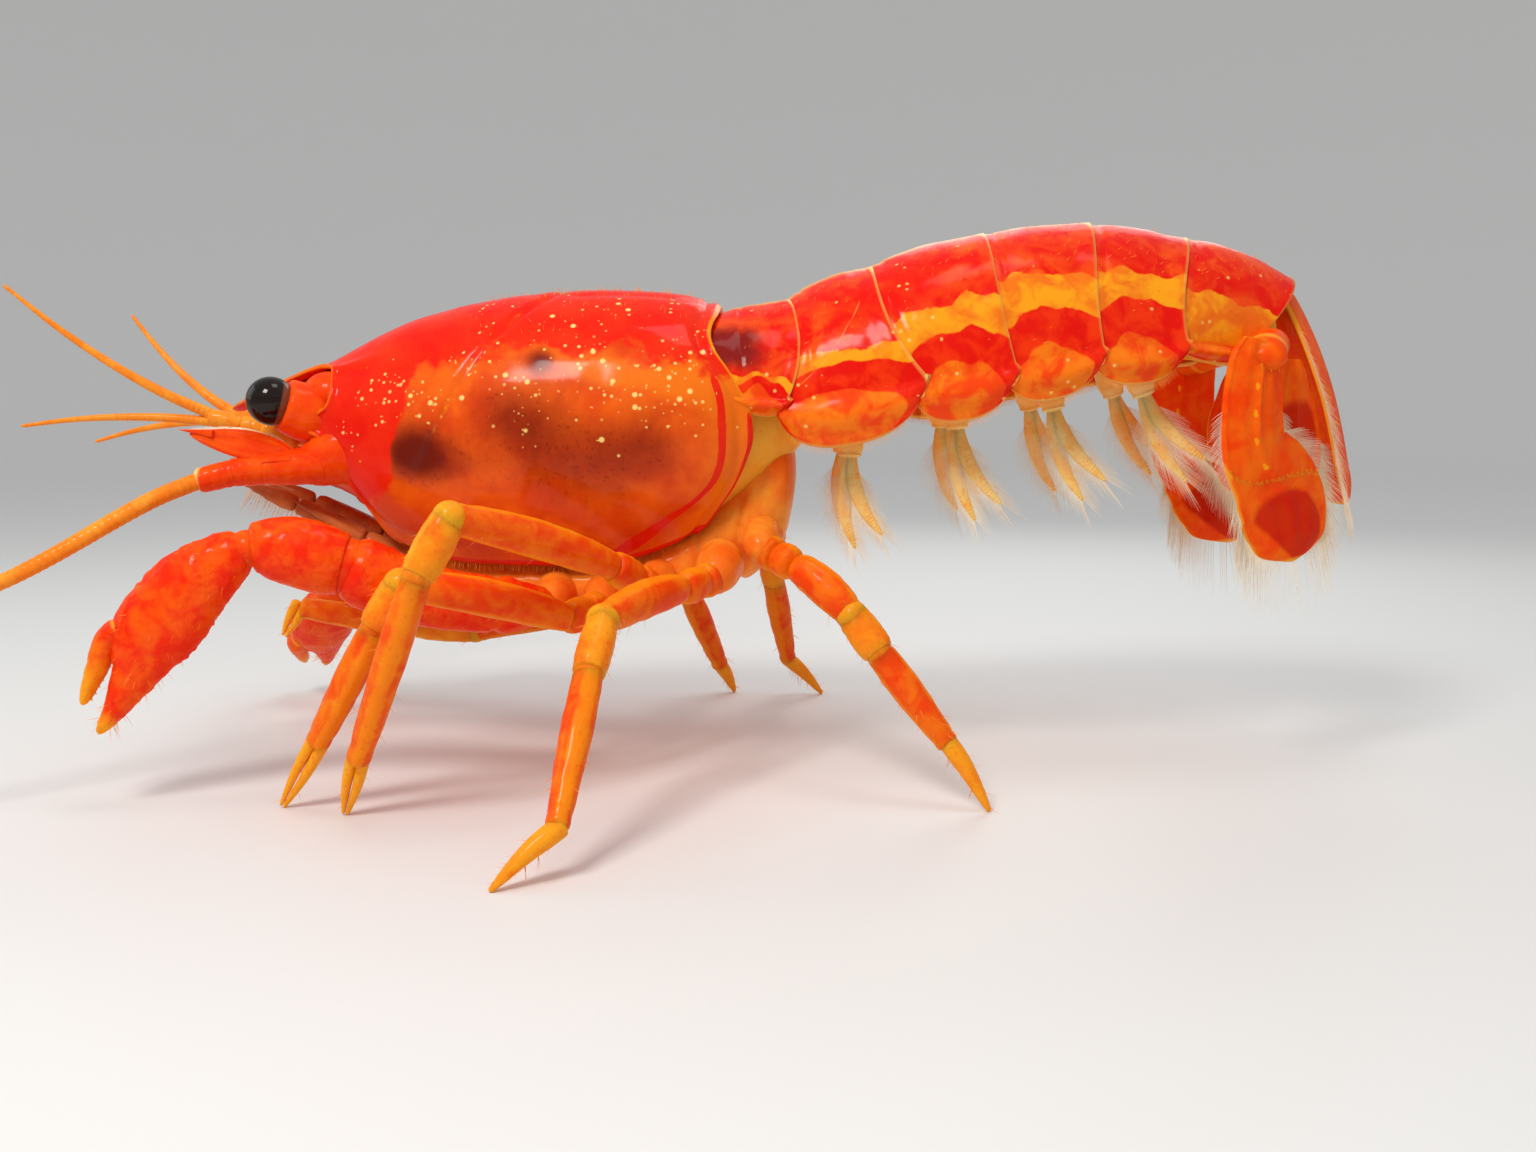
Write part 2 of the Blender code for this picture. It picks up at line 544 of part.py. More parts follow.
def cupped_plate(stations, face, bend, thickness):
    """A thin curved plate: stations of (centre, half width), bent away from its face at both edges."""
    face = Vector(face).normalized()
    centres = [Vector(s[0]) for s in stations]
    shares = [-1.0, -0.75, -0.35, 0.0, 0.35, 0.75, 1.0]
    around = [(c, 1) for c in shares] + [(c, -1) for c in reversed(shares[1:-1])]

    def place(row, column):
        ahead = (centres[min(row + 1, len(centres) - 1)] - centres[max(row - 1, 0)]).normalized()
        side = ahead.cross(face).normalized()
        out = side.cross(ahead).normalized()
        share, way = around[column]
        half = stations[row][1]
        end = 0.6 if row in (0, len(stations) - 1) else 1.0
        lift = way * thickness / 2 * end * (1 - share ** 4 * 0.6) - bend * half * share * share
        return centres[row] + side * half * share + out * lift

    return wrapped(len(stations), len(around), place)


# Tail plates in side view, right side: z, front edge x, rear edge x
OUTER_FAN = [(12.62, 13.1, 14.2), (12.2, 12.8, 14.4), (11.5, 12.6, 14.4), (10.3, 12.5, 14.45), (9.5, 12.55, 14.7),
             (8.9, 12.75, 15.35), (8.3, 13.05, 15.85), (7.8, 13.25, 16.0), (7.25, 13.6, 15.88), (6.8, 14.1, 15.6),
             (6.5, 14.6, 15.2)]
INNER_FAN = [(11.6, 14.55, 15.1), (11.2, 14.25, 15.45), (10.7, 14.1, 15.7), (10.0, 14.05, 15.9), (9.3, 14.15, 16.05),
             (8.7, 14.4, 16.05), (8.2, 14.8, 15.9), (7.9, 15.2, 15.65)]
TELSON = [((15.62, 14.05), 0.95), ((15.95, 13.4), 1.3), ((16.4, 12.4), 1.5), ((16.85, 11.2), 1.55),
          ((17.15, 10.1), 1.55), ((17.4, 9.0), 1.5), ((17.58, 8.3), 1.3), ((17.68, 7.8), 0.95)]


def tail_fan():
    """Telson in the middle and two pairs of side plates, cupped forward under the abdomen."""
    telson = cupped_plate([((x - 0.25, 0, z), half) for (x, z), half in TELSON], (1, 0, 0.3), 0.14, 0.5)
    finish(carved(fused("telson", [telson]), [ring_shape(5, GAP)]), "shell")
    for word, side in SIDES.items():
        outer = []
        for z, front, rear in OUTER_FAN:
            x = (front + rear) / 2
            outer.append((mirrored((x, 3.95 - 0.5 * (x - 12.7), z), side), (rear - front) / 2 * 1.08))
        plate = cupped_plate(outer, mirrored((0.37, 0.93, 0.1), side), 0.1, 0.42)
        stub = limb([(mirrored(p, side), r, r) for p, r in
                     (((14.55, 1.75, 12.35), 0.4), ((14.1, 2.5, 12.4), 0.45), ((13.75, 3.3, 12.1), 0.34))])
        clear = [ring_shape(5, GAP * 1.3)]
        finish(carved(fused(f"tail_outer_{word}", [plate, stub]), clear), "shell")
        inner = []
        for z, front, rear in INNER_FAN:
            x = (front + rear) / 2
            inner.append((mirrored((x, 1.95 - 0.5 * (x - 15.1), z), side), (rear - front) / 2 * 1.13))
        plate = cupped_plate(inner, mirrored((0.45, 0.88, 0.1), side), 0.12, 0.4)
        node(f"tail_inner_{word}", "shell", plate)


SWIMMERET_ROOTS = {2: (2.4, 10.7), 3: (5.3, 11.5), 4: (7.9, 12.0), 5: (10.3, 12.35)}
SWIMMERET_LEAN = {2: -0.02, 3: 0.12, 4: 0.25, 5: 0.42}     # how far each hangs backwards, as a slope
SWIMMERET_LENGTH = 4.6


def swimmeret(index, word, side):
    """A leg of the abdomen: a short stalk with two leaf-shaped branches."""
    x, z = SWIMMERET_ROOTS[index]
    root = mirrored((x, 1.7, z), side)
    down = Vector((SWIMMERET_LEAN[index], 0.12 * side, -1)).normalized()
    knee = root + down * 1.3
    shapes = [limb([(root, 0.36, 0.36), (root + down * 0.7, 0.34, 0.34), (knee + down * 0.2, 0.32, 0.32)], 8)]
    for spread_by in (-0.42, 0.42):
        way = (down + Vector((spread_by * 0.75, 0.3 * side * spread_by, 0))).normalized()
        start = knee - way * 0.15
        end = start + way * (SWIMMERET_LENGTH - 1.3)
        shapes.append(limb([(start, 0.27, 0.27), (start.lerp(end, 0.3), 0.28, 0.42),
                            (start.lerp(end, 0.65), 0.26, 0.46), (start.lerp(end, 0.9), 0.2, 0.28),
                            (end, 0.1, 0.12)], 8, up=(1, 0, 0)))
    made = carved(fused(f"swimmeret_{index}_{word}", shapes), [ring_shape(index - 1, GAP)])
    finish(made, "swimmeret")


LONG_FEELER_ROUTES = {
    "left": [(-17.0, -4.1, 8.19), (-20.0, -6.5, 6.22), (-24.0, -10.2, 4.5), (-28.0, -13.6, 4.2), (-31.5, -16.2, 4.9)],
    "right": [(-16.7, 4.3, 8.8), (-17.0, 6.8, 9.2), (-15.0, 10.5, 9.5), (-9.5, 13.8, 9.3), (-3.0, 15.4, 8.6),
              (3.0, 15.6, 7.8)],
}
SMALL_FEELER_TIPS = {
    "left": ((-21.5, -2.5, 14.16), (-21.6, -1.8, 10.2)),
    "right": ((-19.7, 1.6, 13.56), (-21.1, 1.7, 9.65)),
}


def centre_on_floor():
    """Moves the whole model so that the origin is under the middle of its box, on the floor."""
    objects = [o for o in bpy.context.scene.objects if o.type == "MESH"]
    corners = [v.co for o in objects for v in o.data.vertices]
    low = Vector([min(c[k] for c in corners) for k in range(3)])
    high = Vector([max(c[k] for c in corners) for k in range(3)])
    shift = Vector((-(low.x + high.x) / 2, -(low.y + high.y) / 2, -low.z))
    for obj in objects:
        obj.data.transform(Matrix.Translation(shift))
    print("moved by", tuple(round(v / MM, 3) for v in shift), "mm")


def build():
    clear_scene()
    carapace()
    head()
    underside()
    for word, side in SIDES.items():
        eye(word, side)
        antennule(word, side, *SMALL_FEELER_TIPS[word])
        antenna(word, side, LONG_FEELER_ROUTES[word])
        mouth_leg(word, side)
        claw_leg(word, CLAW_ARMS[word])
    for name, joints in WALKING_LEGS.items():
        walking_leg(name, joints)
    for index in range(len(LOBE_DROP)):
        node(f"abdomen_ring_{index + 1}", "shell", ring_shape(index))
    tail_fan()
    for index in SWIMMERET_ROOTS:
        for word, side in SIDES.items():
            swimmeret(index, word, side)
    centre_on_floor()


build()
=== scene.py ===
"""Orange dwarf crayfish: the finished shell, limbs, feelers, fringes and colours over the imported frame.

The drawing is in millimetres in the body's own frame, with the head to -X, the animal's left side
to -Y and z = 0 on the floor. piece() moves each mesh to its place in the frame and into metres.
"""

import random
from math import copysign, cos, exp, pi, radians, sin, sqrt

import bmesh
import bpy
from mathutils import Matrix, Vector, noise


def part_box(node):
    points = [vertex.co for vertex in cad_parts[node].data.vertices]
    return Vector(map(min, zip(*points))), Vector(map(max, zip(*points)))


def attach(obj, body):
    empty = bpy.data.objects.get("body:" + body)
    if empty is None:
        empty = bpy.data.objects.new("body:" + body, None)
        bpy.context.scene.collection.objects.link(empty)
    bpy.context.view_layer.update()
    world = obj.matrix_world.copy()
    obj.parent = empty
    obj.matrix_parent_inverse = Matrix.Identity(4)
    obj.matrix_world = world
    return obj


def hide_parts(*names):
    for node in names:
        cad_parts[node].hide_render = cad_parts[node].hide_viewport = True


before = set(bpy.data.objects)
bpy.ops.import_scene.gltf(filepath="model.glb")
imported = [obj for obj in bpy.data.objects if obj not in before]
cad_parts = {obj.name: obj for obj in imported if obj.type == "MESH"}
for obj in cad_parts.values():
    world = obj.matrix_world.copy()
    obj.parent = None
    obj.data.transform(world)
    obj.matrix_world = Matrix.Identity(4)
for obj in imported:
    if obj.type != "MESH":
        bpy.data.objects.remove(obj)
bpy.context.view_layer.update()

MM = 0.001
SIDES = {"left": -1, "right": 1}
EYE_CENTRE = Vector((-14.2, 2.2, 10.92))        # of the right eye
EYE_RADIUS = 0.7
SEED = 11                                       # of the bristles' places
SAME_PLACE = 1e-4                               # points closer than this are merged
SHARP_ANGLE = 62                                # degrees at which a finished piece keeps a hard edge

# The drawing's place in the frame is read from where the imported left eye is
near_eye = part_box("eye_left")
SHIFT = Vector([(near_eye[0][k] + near_eye[1][k]) / 2 for k in range(3)])
SHIFT = SHIFT - Vector((EYE_CENTRE.x, -EYE_CENTRE.y, EYE_CENTRE.z)) * MM
PLACE = Matrix.Translation(SHIFT) @ Matrix.Scale(MM, 4)


# Curves through a few named values

def along(points, at):
    """Value at a place on a smooth curve through (place, value) points."""
    last = len(points) - 1
    if at <= points[0][0]:
        return points[0][1]
    if at >= points[last][0]:
        return points[last][1]
    i = max(k for k in range(last) if points[k][0] <= at)
    (x0, y0), (x1, y1) = points[i], points[i + 1]
    before, after = points[max(i - 1, 0)], points[min(i + 2, last)]
    span = x1 - x0
    t = (at - x0) / span
    slope_in = (y1 - before[1]) / (x1 - before[0])
    slope_out = (after[1] - y0) / (after[0] - x0)
    return (y0 * (2 * t**3 - 3 * t**2 + 1) + y1 * (3 * t**2 - 2 * t**3)
            + span * (slope_in * (t**3 - 2 * t**2 + t) + slope_out * (t**3 - t**2)))


def eased(low, high, at):
    """0 at low and before it, 1 at high and beyond, and a soft step between."""
    t = min(max((at - low) / (high - low), 0.0), 1.0)
    return t * t * (3 - 2 * t)


def bump(at, middle, width):
    """A rounded hill of height 1 at middle."""
    return exp(-((at - middle) / width) ** 2)


def spread(s):
    """Share along a piece for a row of its mesh; the rows lie closer together near both ends."""
    return 0.5 - 0.5 * cos(pi * s)


def rounded(gone, end):
    """How far a rounded end has opened at a distance into it, from 0 to 1."""
    if gone >= end:
        return 1.0
    return sqrt(max(0.0, 1 - (1 - gone / end) ** 2))


def squared(wave, power):
    """A sine or cosine pressed outwards, which makes a round section a little square."""
    return copysign(abs(wave) ** power, wave)


def column(rows, k):
    """(place, value) points from the first and the k-th value of each row of a table."""
    return [(row[0], row[k]) for row in rows]


def distances(points):
    """How far along the line through them each point lies."""
    marks = [0.0]
    for before, after in zip(points, points[1:]):
        marks.append(marks[-1] + (Vector(after) - Vector(before)).length)
    return marks


def evenly(low, high, count):
    """Evenly spaced values from low to high."""
    return [low + (high - low) * k / (count - 1) for k in range(count)]


def mirrored(point, side):
    """A point given for the right side, on the side asked for."""
    return Vector((point[0], point[1] * side, point[2]))


def mirrored_all(points, side):
    return [mirrored(p, side) for p in points]


def ripple(point, size):
    """Smooth unevenness between -1 and 1, with waves of about that many millimetres."""
    return noise.noise(Vector(point) / size)


def ripple_round(place, angle, wide, size):
    """The same on a body's skin, at a place along it and an angle around it."""
    return ripple((place, cos(angle) * wide, sin(angle) * wide), size)


# Mesh making

LAYERS = ("tint", "back", "rim", "cloud", "dotty", "pale")


def sketch():
    """An empty mesh with the layers that the finishes read."""
    bm = bmesh.new()
    bm.loops.layers.uv.new("along_around")
    for layer in LAYERS:
        bm.verts.layers.float.new(layer)
    return bm


def skin(bm, rows, columns, place, wrap=True, tint=0.0, paint=None):
    """Adds a skin: place(s, t) gives the point at share s along it and share t around it."""
    uv = bm.loops.layers.uv["along_around"]
    tone = bm.verts.layers.float["tint"]
    verts = bmesh.ops.create_grid(bm, x_segments=rows, y_segments=columns, size=1.0)["verts"]
    for face in {f for v in verts for f in v.link_faces}:
        for loop in face.loops:
            loop[uv].uv = (loop.vert.co.x / 2 + 0.5, loop.vert.co.y / 2 + 0.5)
    for vert in verts:
        s, t = vert.co.x / 2 + 0.5, vert.co.y / 2 + 0.5
        vert.co = place(s, t)
        vert[tone] = tint
        if paint:
            for layer, value in paint(s, t, vert.co).items():
                vert[bm.verts.layers.float[layer]] = value
    bmesh.ops.remove_doubles(bm, verts=verts, dist=SAME_PLACE)
    verts = [v for v in verts if v.is_valid]
    if wrap:
        rims = [e for e in {e for v in verts for e in v.link_edges} if e.is_boundary]
        bmesh.ops.holes_fill(bm, edges=rims, sides=0)
    faces = list({f for v in verts for f in v.link_faces})
    bmesh.ops.recalc_face_normals(bm, faces=faces)
    middle = sum((v.co for v in verts), Vector()) / len(verts)
    if not wrap and sum(f.normal.dot(f.calc_center_median() - middle) for f in faces) < 0:
        bmesh.ops.reverse_faces(bm, faces=faces)


class Path:
    """A smooth line through a few points, with a frame that doesn't twist along it, or one that
    is steady and always faces up."""

    def __init__(self, points, up=(0, 0, 1), steps=60, steady=False):
        points = [Vector(p) for p in points]
        marks = distances(points)
        self.length, self.steps = marks[-1], steps
        curves = [[(m, p[k]) for m, p in zip(marks, points)] for k in range(3)]
        self.centres = [Vector([along(c, self.length * i / steps) for c in curves]) for i in range(steps + 1)]
        self.frames = []
        side = None
        for i in range(steps + 1):
            ahead = self.centres[min(i + 1, steps)] - self.centres[max(i - 1, 0)]
            ahead.normalize()
            if side is None or steady:
                side = ahead.cross(Vector(up))
            side = (side - ahead * side.dot(ahead)).normalized()
            self.frames.append((ahead, side, side.cross(ahead)))

    def at(self, share):
        """Centre, direction, side and lift at a share of the length."""
        place = min(max(share, 0.0), 1.0) * self.steps
        i = min(int(place), self.steps - 1)
        t = place - i
        ahead, side, lift = (a.lerp(b, t) for a, b in zip(self.frames[i], self.frames[i + 1]))
        return self.centres[i].lerp(self.centres[i + 1], t), ahead, side, lift


def limb(bm, path, profile, rows=26, sides=20, relief=None, ends=(0.2, 0.2), tint=0.0, paint=None):
    """Adds a closed tube on a path. profile holds (share, half width, half height) or (share, radius),
    ends how far each end takes to round off, and relief(share, angle) what stands proud of it."""
    widths, heights = column(profile, 1), column(profile, -1)

    def place(s, t):
        share = spread(s)
        centre, ahead, side, lift = path.at(share)
        angle = 2 * pi * t
        proud = relief(share, angle) if relief else 0.0
        closing = rounded(share * path.length, ends[0]) * rounded((1 - share) * path.length, ends[1])
        wide = (along(widths, share) + proud) * closing
        high = (along(heights, share) + proud) * closing
        return centre + side * wide * cos(angle) + lift * high * sin(angle)

    skin(bm, rows, sides, place, tint=tint, paint=paint)


def straight(start, end):
    """A path from start to end with a point halfway."""
    return Path([start, start.lerp(end, 0.5), end])


def ring_line(strength, row, width, by_share=False):
    """The paint of a pale line round a limb, at a row of its mesh or at a share of its length."""
    return lambda s, t, point: {"rim": strength * bump(spread(s) if by_share else s, row, width)}


def ball(bm, centre, radius, squash=(1, 1, 1), across=20, rings=12, tint=0.0):
    """Adds a ball; its map stays at a limb's middle, so that it takes no colour of a limb's end."""
    made = bmesh.ops.create_uvsphere(bm, u_segments=across, v_segments=rings, radius=radius)["verts"]
    bmesh.ops.scale(bm, verts=made, vec=squash)
    bmesh.ops.translate(bm, verts=made, vec=centre)
    tone, uv = bm.verts.layers.float["tint"], bm.loops.layers.uv["along_around"]
    for vert in made:
        vert[tone] = tint
        for loop in vert.link_loops:
            loop[uv].uv = (0.5, 0.5)
    return made


def cone(bm, root, tip, radius, sides=6, tint=0.0):
    """Adds a short spine or tooth from root to tip."""
    root, tip = Vector(root), Vector(tip)
    turn = (tip - root).to_track_quat("Z", "Y").to_matrix().to_4x4()
    made = bmesh.ops.create_cone(bm, cap_ends=True, segments=sides, radius1=radius, radius2=radius * 0.08,
                                 depth=(tip - root).length,
                                 matrix=Matrix.Translation((root + tip) / 2) @ turn)["verts"]
    tone = bm.verts.layers.float["tint"]
    for vert in made:
        vert[tone] = tint


def piece(name, bm, finish, nodes=(), wall=0.0):
    """Turns a drawn mesh into a finished piece that rides on the body and stands for its nodes."""
    mesh = bpy.data.meshes.new(name)
    bm.to_mesh(mesh)
    bm.free()
    mesh.transform(PLACE)
    mesh.materials.append(finish)
    obj = bpy.data.objects.new(name, mesh)
    bpy.context.scene.collection.objects.link(obj)
    mesh.shade_smooth()
    mesh.set_sharp_from_angle(angle=radians(SHARP_ANGLE))
    if wall:
        solid = obj.modifiers.new("wall", "SOLIDIFY")
        solid.thickness = wall * MM
        solid.offset = -1
    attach(obj, "root")
    if nodes:
        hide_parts(*nodes)


# Finishes

def wire(tree, kind, inputs=None, **settings):
    """Adds a node, sets it up and joins or fills its inputs."""
    made = tree.nodes.new(kind)
    for key, value in settings.items():
        setattr(made, key, value)
    for socket, value in (inputs or {}).items():
        if isinstance(value, bpy.types.NodeSocket):
            tree.links.new(value, made.inputs[socket])
        else:
            made.inputs[socket].default_value = value
    return made


def sums(tree, operation, first, second=0.0):
    return wire(tree, "ShaderNodeMath", {0: first, 1: second}, operation=operation).outputs[0]


def times(tree, first, second):
    return sums(tree, "MULTIPLY", first, second)


def blended(tree, share, first, second, strength=None):
    """A colour that goes from first to second, all the way or by part of its strength."""
    if strength is not None:
        share = times(tree, share, strength)
    return wire(tree, "ShaderNodeMix", {0: share, 6: first, 7: second}, data_type="RGBA").outputs[2]


def step(tree, value, low, high):
    """0 below low, 1 above high and a soft step between."""
    made = wire(tree, "ShaderNodeMapRange", {0: value, 1: low, 2: high}, interpolation_type="SMOOTHSTEP")
    return made.outputs[0]


def noisy(tree, place, scale, detail, **more):
    """Noise between 0 and 1. A scale of 1000 makes clouds of about a millimetre."""
    inputs = {"Vector": place, "Scale": scale, "Detail": detail, **more}
    return wire(tree, "ShaderNodeTexNoise", inputs).outputs["Fac"]


def attribute(tree, name):
    return wire(tree, "ShaderNodeAttribute", attribute_name=name).outputs["Fac"]


def spot(tree):
    """Object coordinates, in metres."""
    return wire(tree, "ShaderNodeTexCoord").outputs["Object"]


def new_group(name, inputs, outputs):
    """A node group with inputs by name and value, and outputs by name, all of plain numbers."""
    tree = bpy.data.node_groups.new(name, "ShaderNodeTree")
    for socket, value in inputs.items():
        made = tree.interface.new_socket(socket, in_out="INPUT", socket_type="NodeSocketFloat")
        made.default_value = value
    for socket in outputs:
        tree.interface.new_socket(socket, in_out="OUTPUT", socket_type="NodeSocketFloat")
    start = tree.nodes.new("NodeGroupInput").outputs
    end = tree.nodes.new("NodeGroupOutput").inputs
    return tree, start, end


def wavy_edge_group():
    """Where a value passes a level, with a ragged, softened edge."""
    values = {"Value": 0.0, "Level": 0.5, "Raggedness": 0.2, "Softness": 0.05, "Scale": 1500.0}
    tree, start, end = new_group("wavy edge", values, ["Mask"])
    rough = noisy(tree, spot(tree), start["Scale"], 3.0, Roughness=0.66)
    swing = times(tree, sums(tree, "SUBTRACT", rough, 0.5), start["Raggedness"])
    value = sums(tree, "ADD", start["Value"], swing)
    low = sums(tree, "SUBTRACT", start["Level"], start["Softness"])
    high = sums(tree, "ADD", start["Level"], start["Softness"])
    tree.links.new(step(tree, value, low, high), end["Mask"])
    return tree


def dots_group():
    """Small round pale dots, scattered or thinned out."""
    tree, start, end = new_group("pale dots", {"Scale": 1800.0, "Size": 0.25, "Share": 0.3}, ["Mask"])
    cells = wire(tree, "ShaderNodeTexVoronoi", {"Vector": spot(tree), "Scale": start["Scale"]})
    inside = step(tree, cells.outputs["Distance"], start["Size"], times(tree, start["Size"], 0.55))
    pick = wire(tree, "ShaderNodeSeparateColor", {0: cells.outputs["Color"]}).outputs[0]
    kept = sums(tree, "LESS_THAN", pick, start["Share"])
    tree.links.new(times(tree, inside, kept), end["Mask"])
    return tree


def mottle_group():
    """Soft clouds and, apart from them, fine flecks, both between 0 and 1."""
    tree, start, end = new_group("clouding", {"Scale": 700.0, "Contrast": 0.18}, ["Cloud", "Fleck"])
    place = spot(tree)
    wide = noisy(tree, place, start["Scale"], 3.0, Roughness=0.6, Distortion=0.4)
    low = sums(tree, "SUBTRACT", 0.5, start["Contrast"])
    high = sums(tree, "ADD", 0.5, start["Contrast"])
    tree.links.new(step(tree, wide, low, high), end["Cloud"])
    tree.links.new(step(tree, noisy(tree, place, 9000.0, 2.0), 0.58, 0.72), end["Fleck"])
    return tree


def grain_group():
    """The cuticle's height: shallow pits, fine granules and slow dents."""
    tree, start, end = new_group("cuticle grain", {"Pits": 0.4}, ["Height", "Gloss"])
    place = spot(tree)
    cells = wire(tree, "ShaderNodeTexVoronoi", {"Vector": place, "Scale": 5200.0})
    pits = times(tree, step(tree, cells.outputs["Distance"], 0.05, 0.5), start["Pits"])
    slow = noisy(tree, place, 1600.0, 2.0)
    fine = noisy(tree, place, 16000.0, 1.0)
    height = sums(tree, "ADD", pits, times(tree, slow, 0.9))
    tree.links.new(sums(tree, "ADD", height, times(tree, fine, 0.16)), end["Height"])
    tree.links.new(step(tree, slow, 0.3, 0.7), end["Gloss"])
    return tree


GRAIN_HEIGHT = 0.04 * MM                # from the cuticle's pits to its granules
GLOW_COLOURS = (1.0, 0.35, 0.12)        # how far red, green and blue light go into the shell
SHINE = 0.02                            # of the shell itself, under its coat

WAVY = wavy_edge_group()
DOTS = dots_group()
MOTTLE = mottle_group()
GRAIN = grain_group()

# Colours, roughly from dark to pale
EYE_BLACK = (0.004, 0.002, 0.001, 1)
EYE_BROWN = (0.018, 0.007, 0.003, 1)
MAROON = (0.12, 0.004, 0.001, 1)
SOOT = (0.16, 0.008, 0.002, 1)
EYE_RIM = (0.20, 0.05, 0.02, 1)
PLUM = (0.24, 0.008, 0.006, 1)
SHADE = (0.36, 0.028, 0.003, 1)
JAW_BROWN = (0.42, 0.075, 0.02, 1)
PALE_JAW = (0.62, 0.16, 0.04, 1)
DEEP_RED = (0.62, 0.008, 0.001, 1)
RED = (0.80, 0.006, 0.001, 1)
CRIMSON = (0.86, 0.03, 0.004, 1)
FACE_RED = (0.86, 0.032, 0.002, 1)
CLAW_RED = (0.88, 0.022, 0.002, 1)
PATCH_RED = (0.92, 0.035, 0.002, 1)
FLECK_RED = (0.80, 0.05, 0.004, 1)
LEG_RED = (0.86, 0.060, 0.003, 1)
FAN_RED = (0.96, 0.055, 0.002, 1)
LOBE_RED = (0.92, 0.06, 0.003, 1)
CROWN_RED = (0.95, 0.09, 0.006, 1)
FACE_ORANGE = (0.92, 0.10, 0.004, 1)
CLAW_ORANGE = (0.96, 0.12, 0.004, 1)
FLANK = (0.72, 0.060, 0.004, 1)
ORANGE = (0.88, 0.130, 0.006, 1)
BREAST_ORANGE = (0.93, 0.15, 0.01, 1)
FAN_ORANGE = (1.0, 0.15, 0.004, 1)
PALE_FLANK = (0.84, 0.17, 0.03, 1)
DULL_AMBER = (0.90, 0.17, 0.008, 1)
EDGE_ORANGE = (0.92, 0.19, 0.006, 1)
LOBE_ORANGE = (0.97, 0.20, 0.006, 1)
CLAW_ENDS = (0.94, 0.2, 0.006, 1)
LEG_ORANGE = (0.92, 0.20, 0.006, 1)
FEELER_ORANGE = (0.90, 0.22, 0.012, 1)
BRISTLE_ORANGE = (0.92, 0.24, 0.02, 1)
AMBER = (0.95, 0.27, 0.008, 1)
# paler joints of the legs, also the colour of the painted rim glow along their top and bottom edges
LEG_ENDS_AND_RIM_GLOW = (0.99, 0.32, 0.008, 1)
SKIN_AMBER = (1.0, 0.33, 0.02, 1)
BREAST_AMBER = (1.0, 0.34, 0.03, 1)
YELLOW = (1.0, 0.35, 0.008, 1)
FAN_RIM = (0.98, 0.36, 0.025, 1)
FEELER_AMBER = (0.93, 0.36, 0.03, 1)
LEG_TIP = (1.0, 0.38, 0.015, 1)
PALE_BRISTLE = (0.98, 0.42, 0.09, 1)
LIMB_RIM = (1.0, 0.46, 0.05, 1)
PADDLE_AMBER = (1.0, 0.48, 0.10, 1)
SKIN_YELLOW = (1.0, 0.5, 0.05, 1)
PLATE_RIM = (1.0, 0.50, 0.10, 1)
PADDLE_CREAM = (1.0, 0.66, 0.26, 1)
HAIR_TAN = (0.86, 0.66, 0.44, 1)
CREAM = (1.0, 0.72, 0.22, 1)
HAIR_CREAM = (0.96, 0.84, 0.64, 1)


def placed(tree, group, **values):
    """A node group placed in a material with its own values."""
    return wire(tree, "ShaderNodeGroup", values, node_tree=group).outputs


def ragged(tree, value, level, raggedness, softness, scale=1500.0):
    """Mask of where a value, or the mesh's layer of that name, passes a level, with a ragged edge."""
    if isinstance(value, str):
        value = attribute(tree, value)
    return placed(tree, WAVY, Value=value, Level=level, Raggedness=raggedness, Softness=softness,
                  Scale=scale)["Mask"]


def clouds(tree, scale, contrast):
    return placed(tree, MOTTLE, Scale=scale, Contrast=contrast)["Cloud"]


def rimmed(tree, colour, low, high, rim_colour):
    """A colour with its piece's pale margins and lines laid over it."""
    return blended(tree, step(tree, attribute(tree, "rim"), low, high), colour, rim_colour)


def map_shares(tree):
    """Shares along and around a piece, from its map."""
    places = wire(tree, "ShaderNodeUVMap", uv_map="along_around").outputs[0]
    return wire(tree, "ShaderNodeSeparateXYZ", {0: places}).outputs


def finish(name, paint, roughness=0.36, coat=0.16, coat_roughness=0.1, glow=0.25, depth=0.35,
           pits=0.4, relief=0.35, gloss_swing=0.16):
    """A shell-like finish: paint(tree) gives its colour, glow how much light it lets through."""
    made = bpy.data.materials.new(name)
    made.use_nodes = True
    tree = made.node_tree
    shader = tree.nodes["Principled BSDF"].inputs
    for socket, value in (("Specular IOR Level", SHINE), ("Coat Weight", coat),
                          ("Coat Roughness", coat_roughness), ("Subsurface Weight", glow),
                          ("Subsurface Scale", depth * MM), ("Subsurface Radius", GLOW_COLOURS)):
        shader[socket].default_value = value
    tree.links.new(paint(tree), shader["Base Color"])
    grain = placed(tree, GRAIN, Pits=pits)
    swing = times(tree, grain["Gloss"], gloss_swing)
    tree.links.new(sums(tree, "ADD", swing, roughness - gloss_swing / 2), shader["Roughness"])
    surface = wire(tree, "ShaderNodeBump",
                   {"Height": grain["Height"], "Strength": relief, "Distance": GRAIN_HEIGHT})
    tree.links.new(surface.outputs[0], shader["Normal"])
    return made


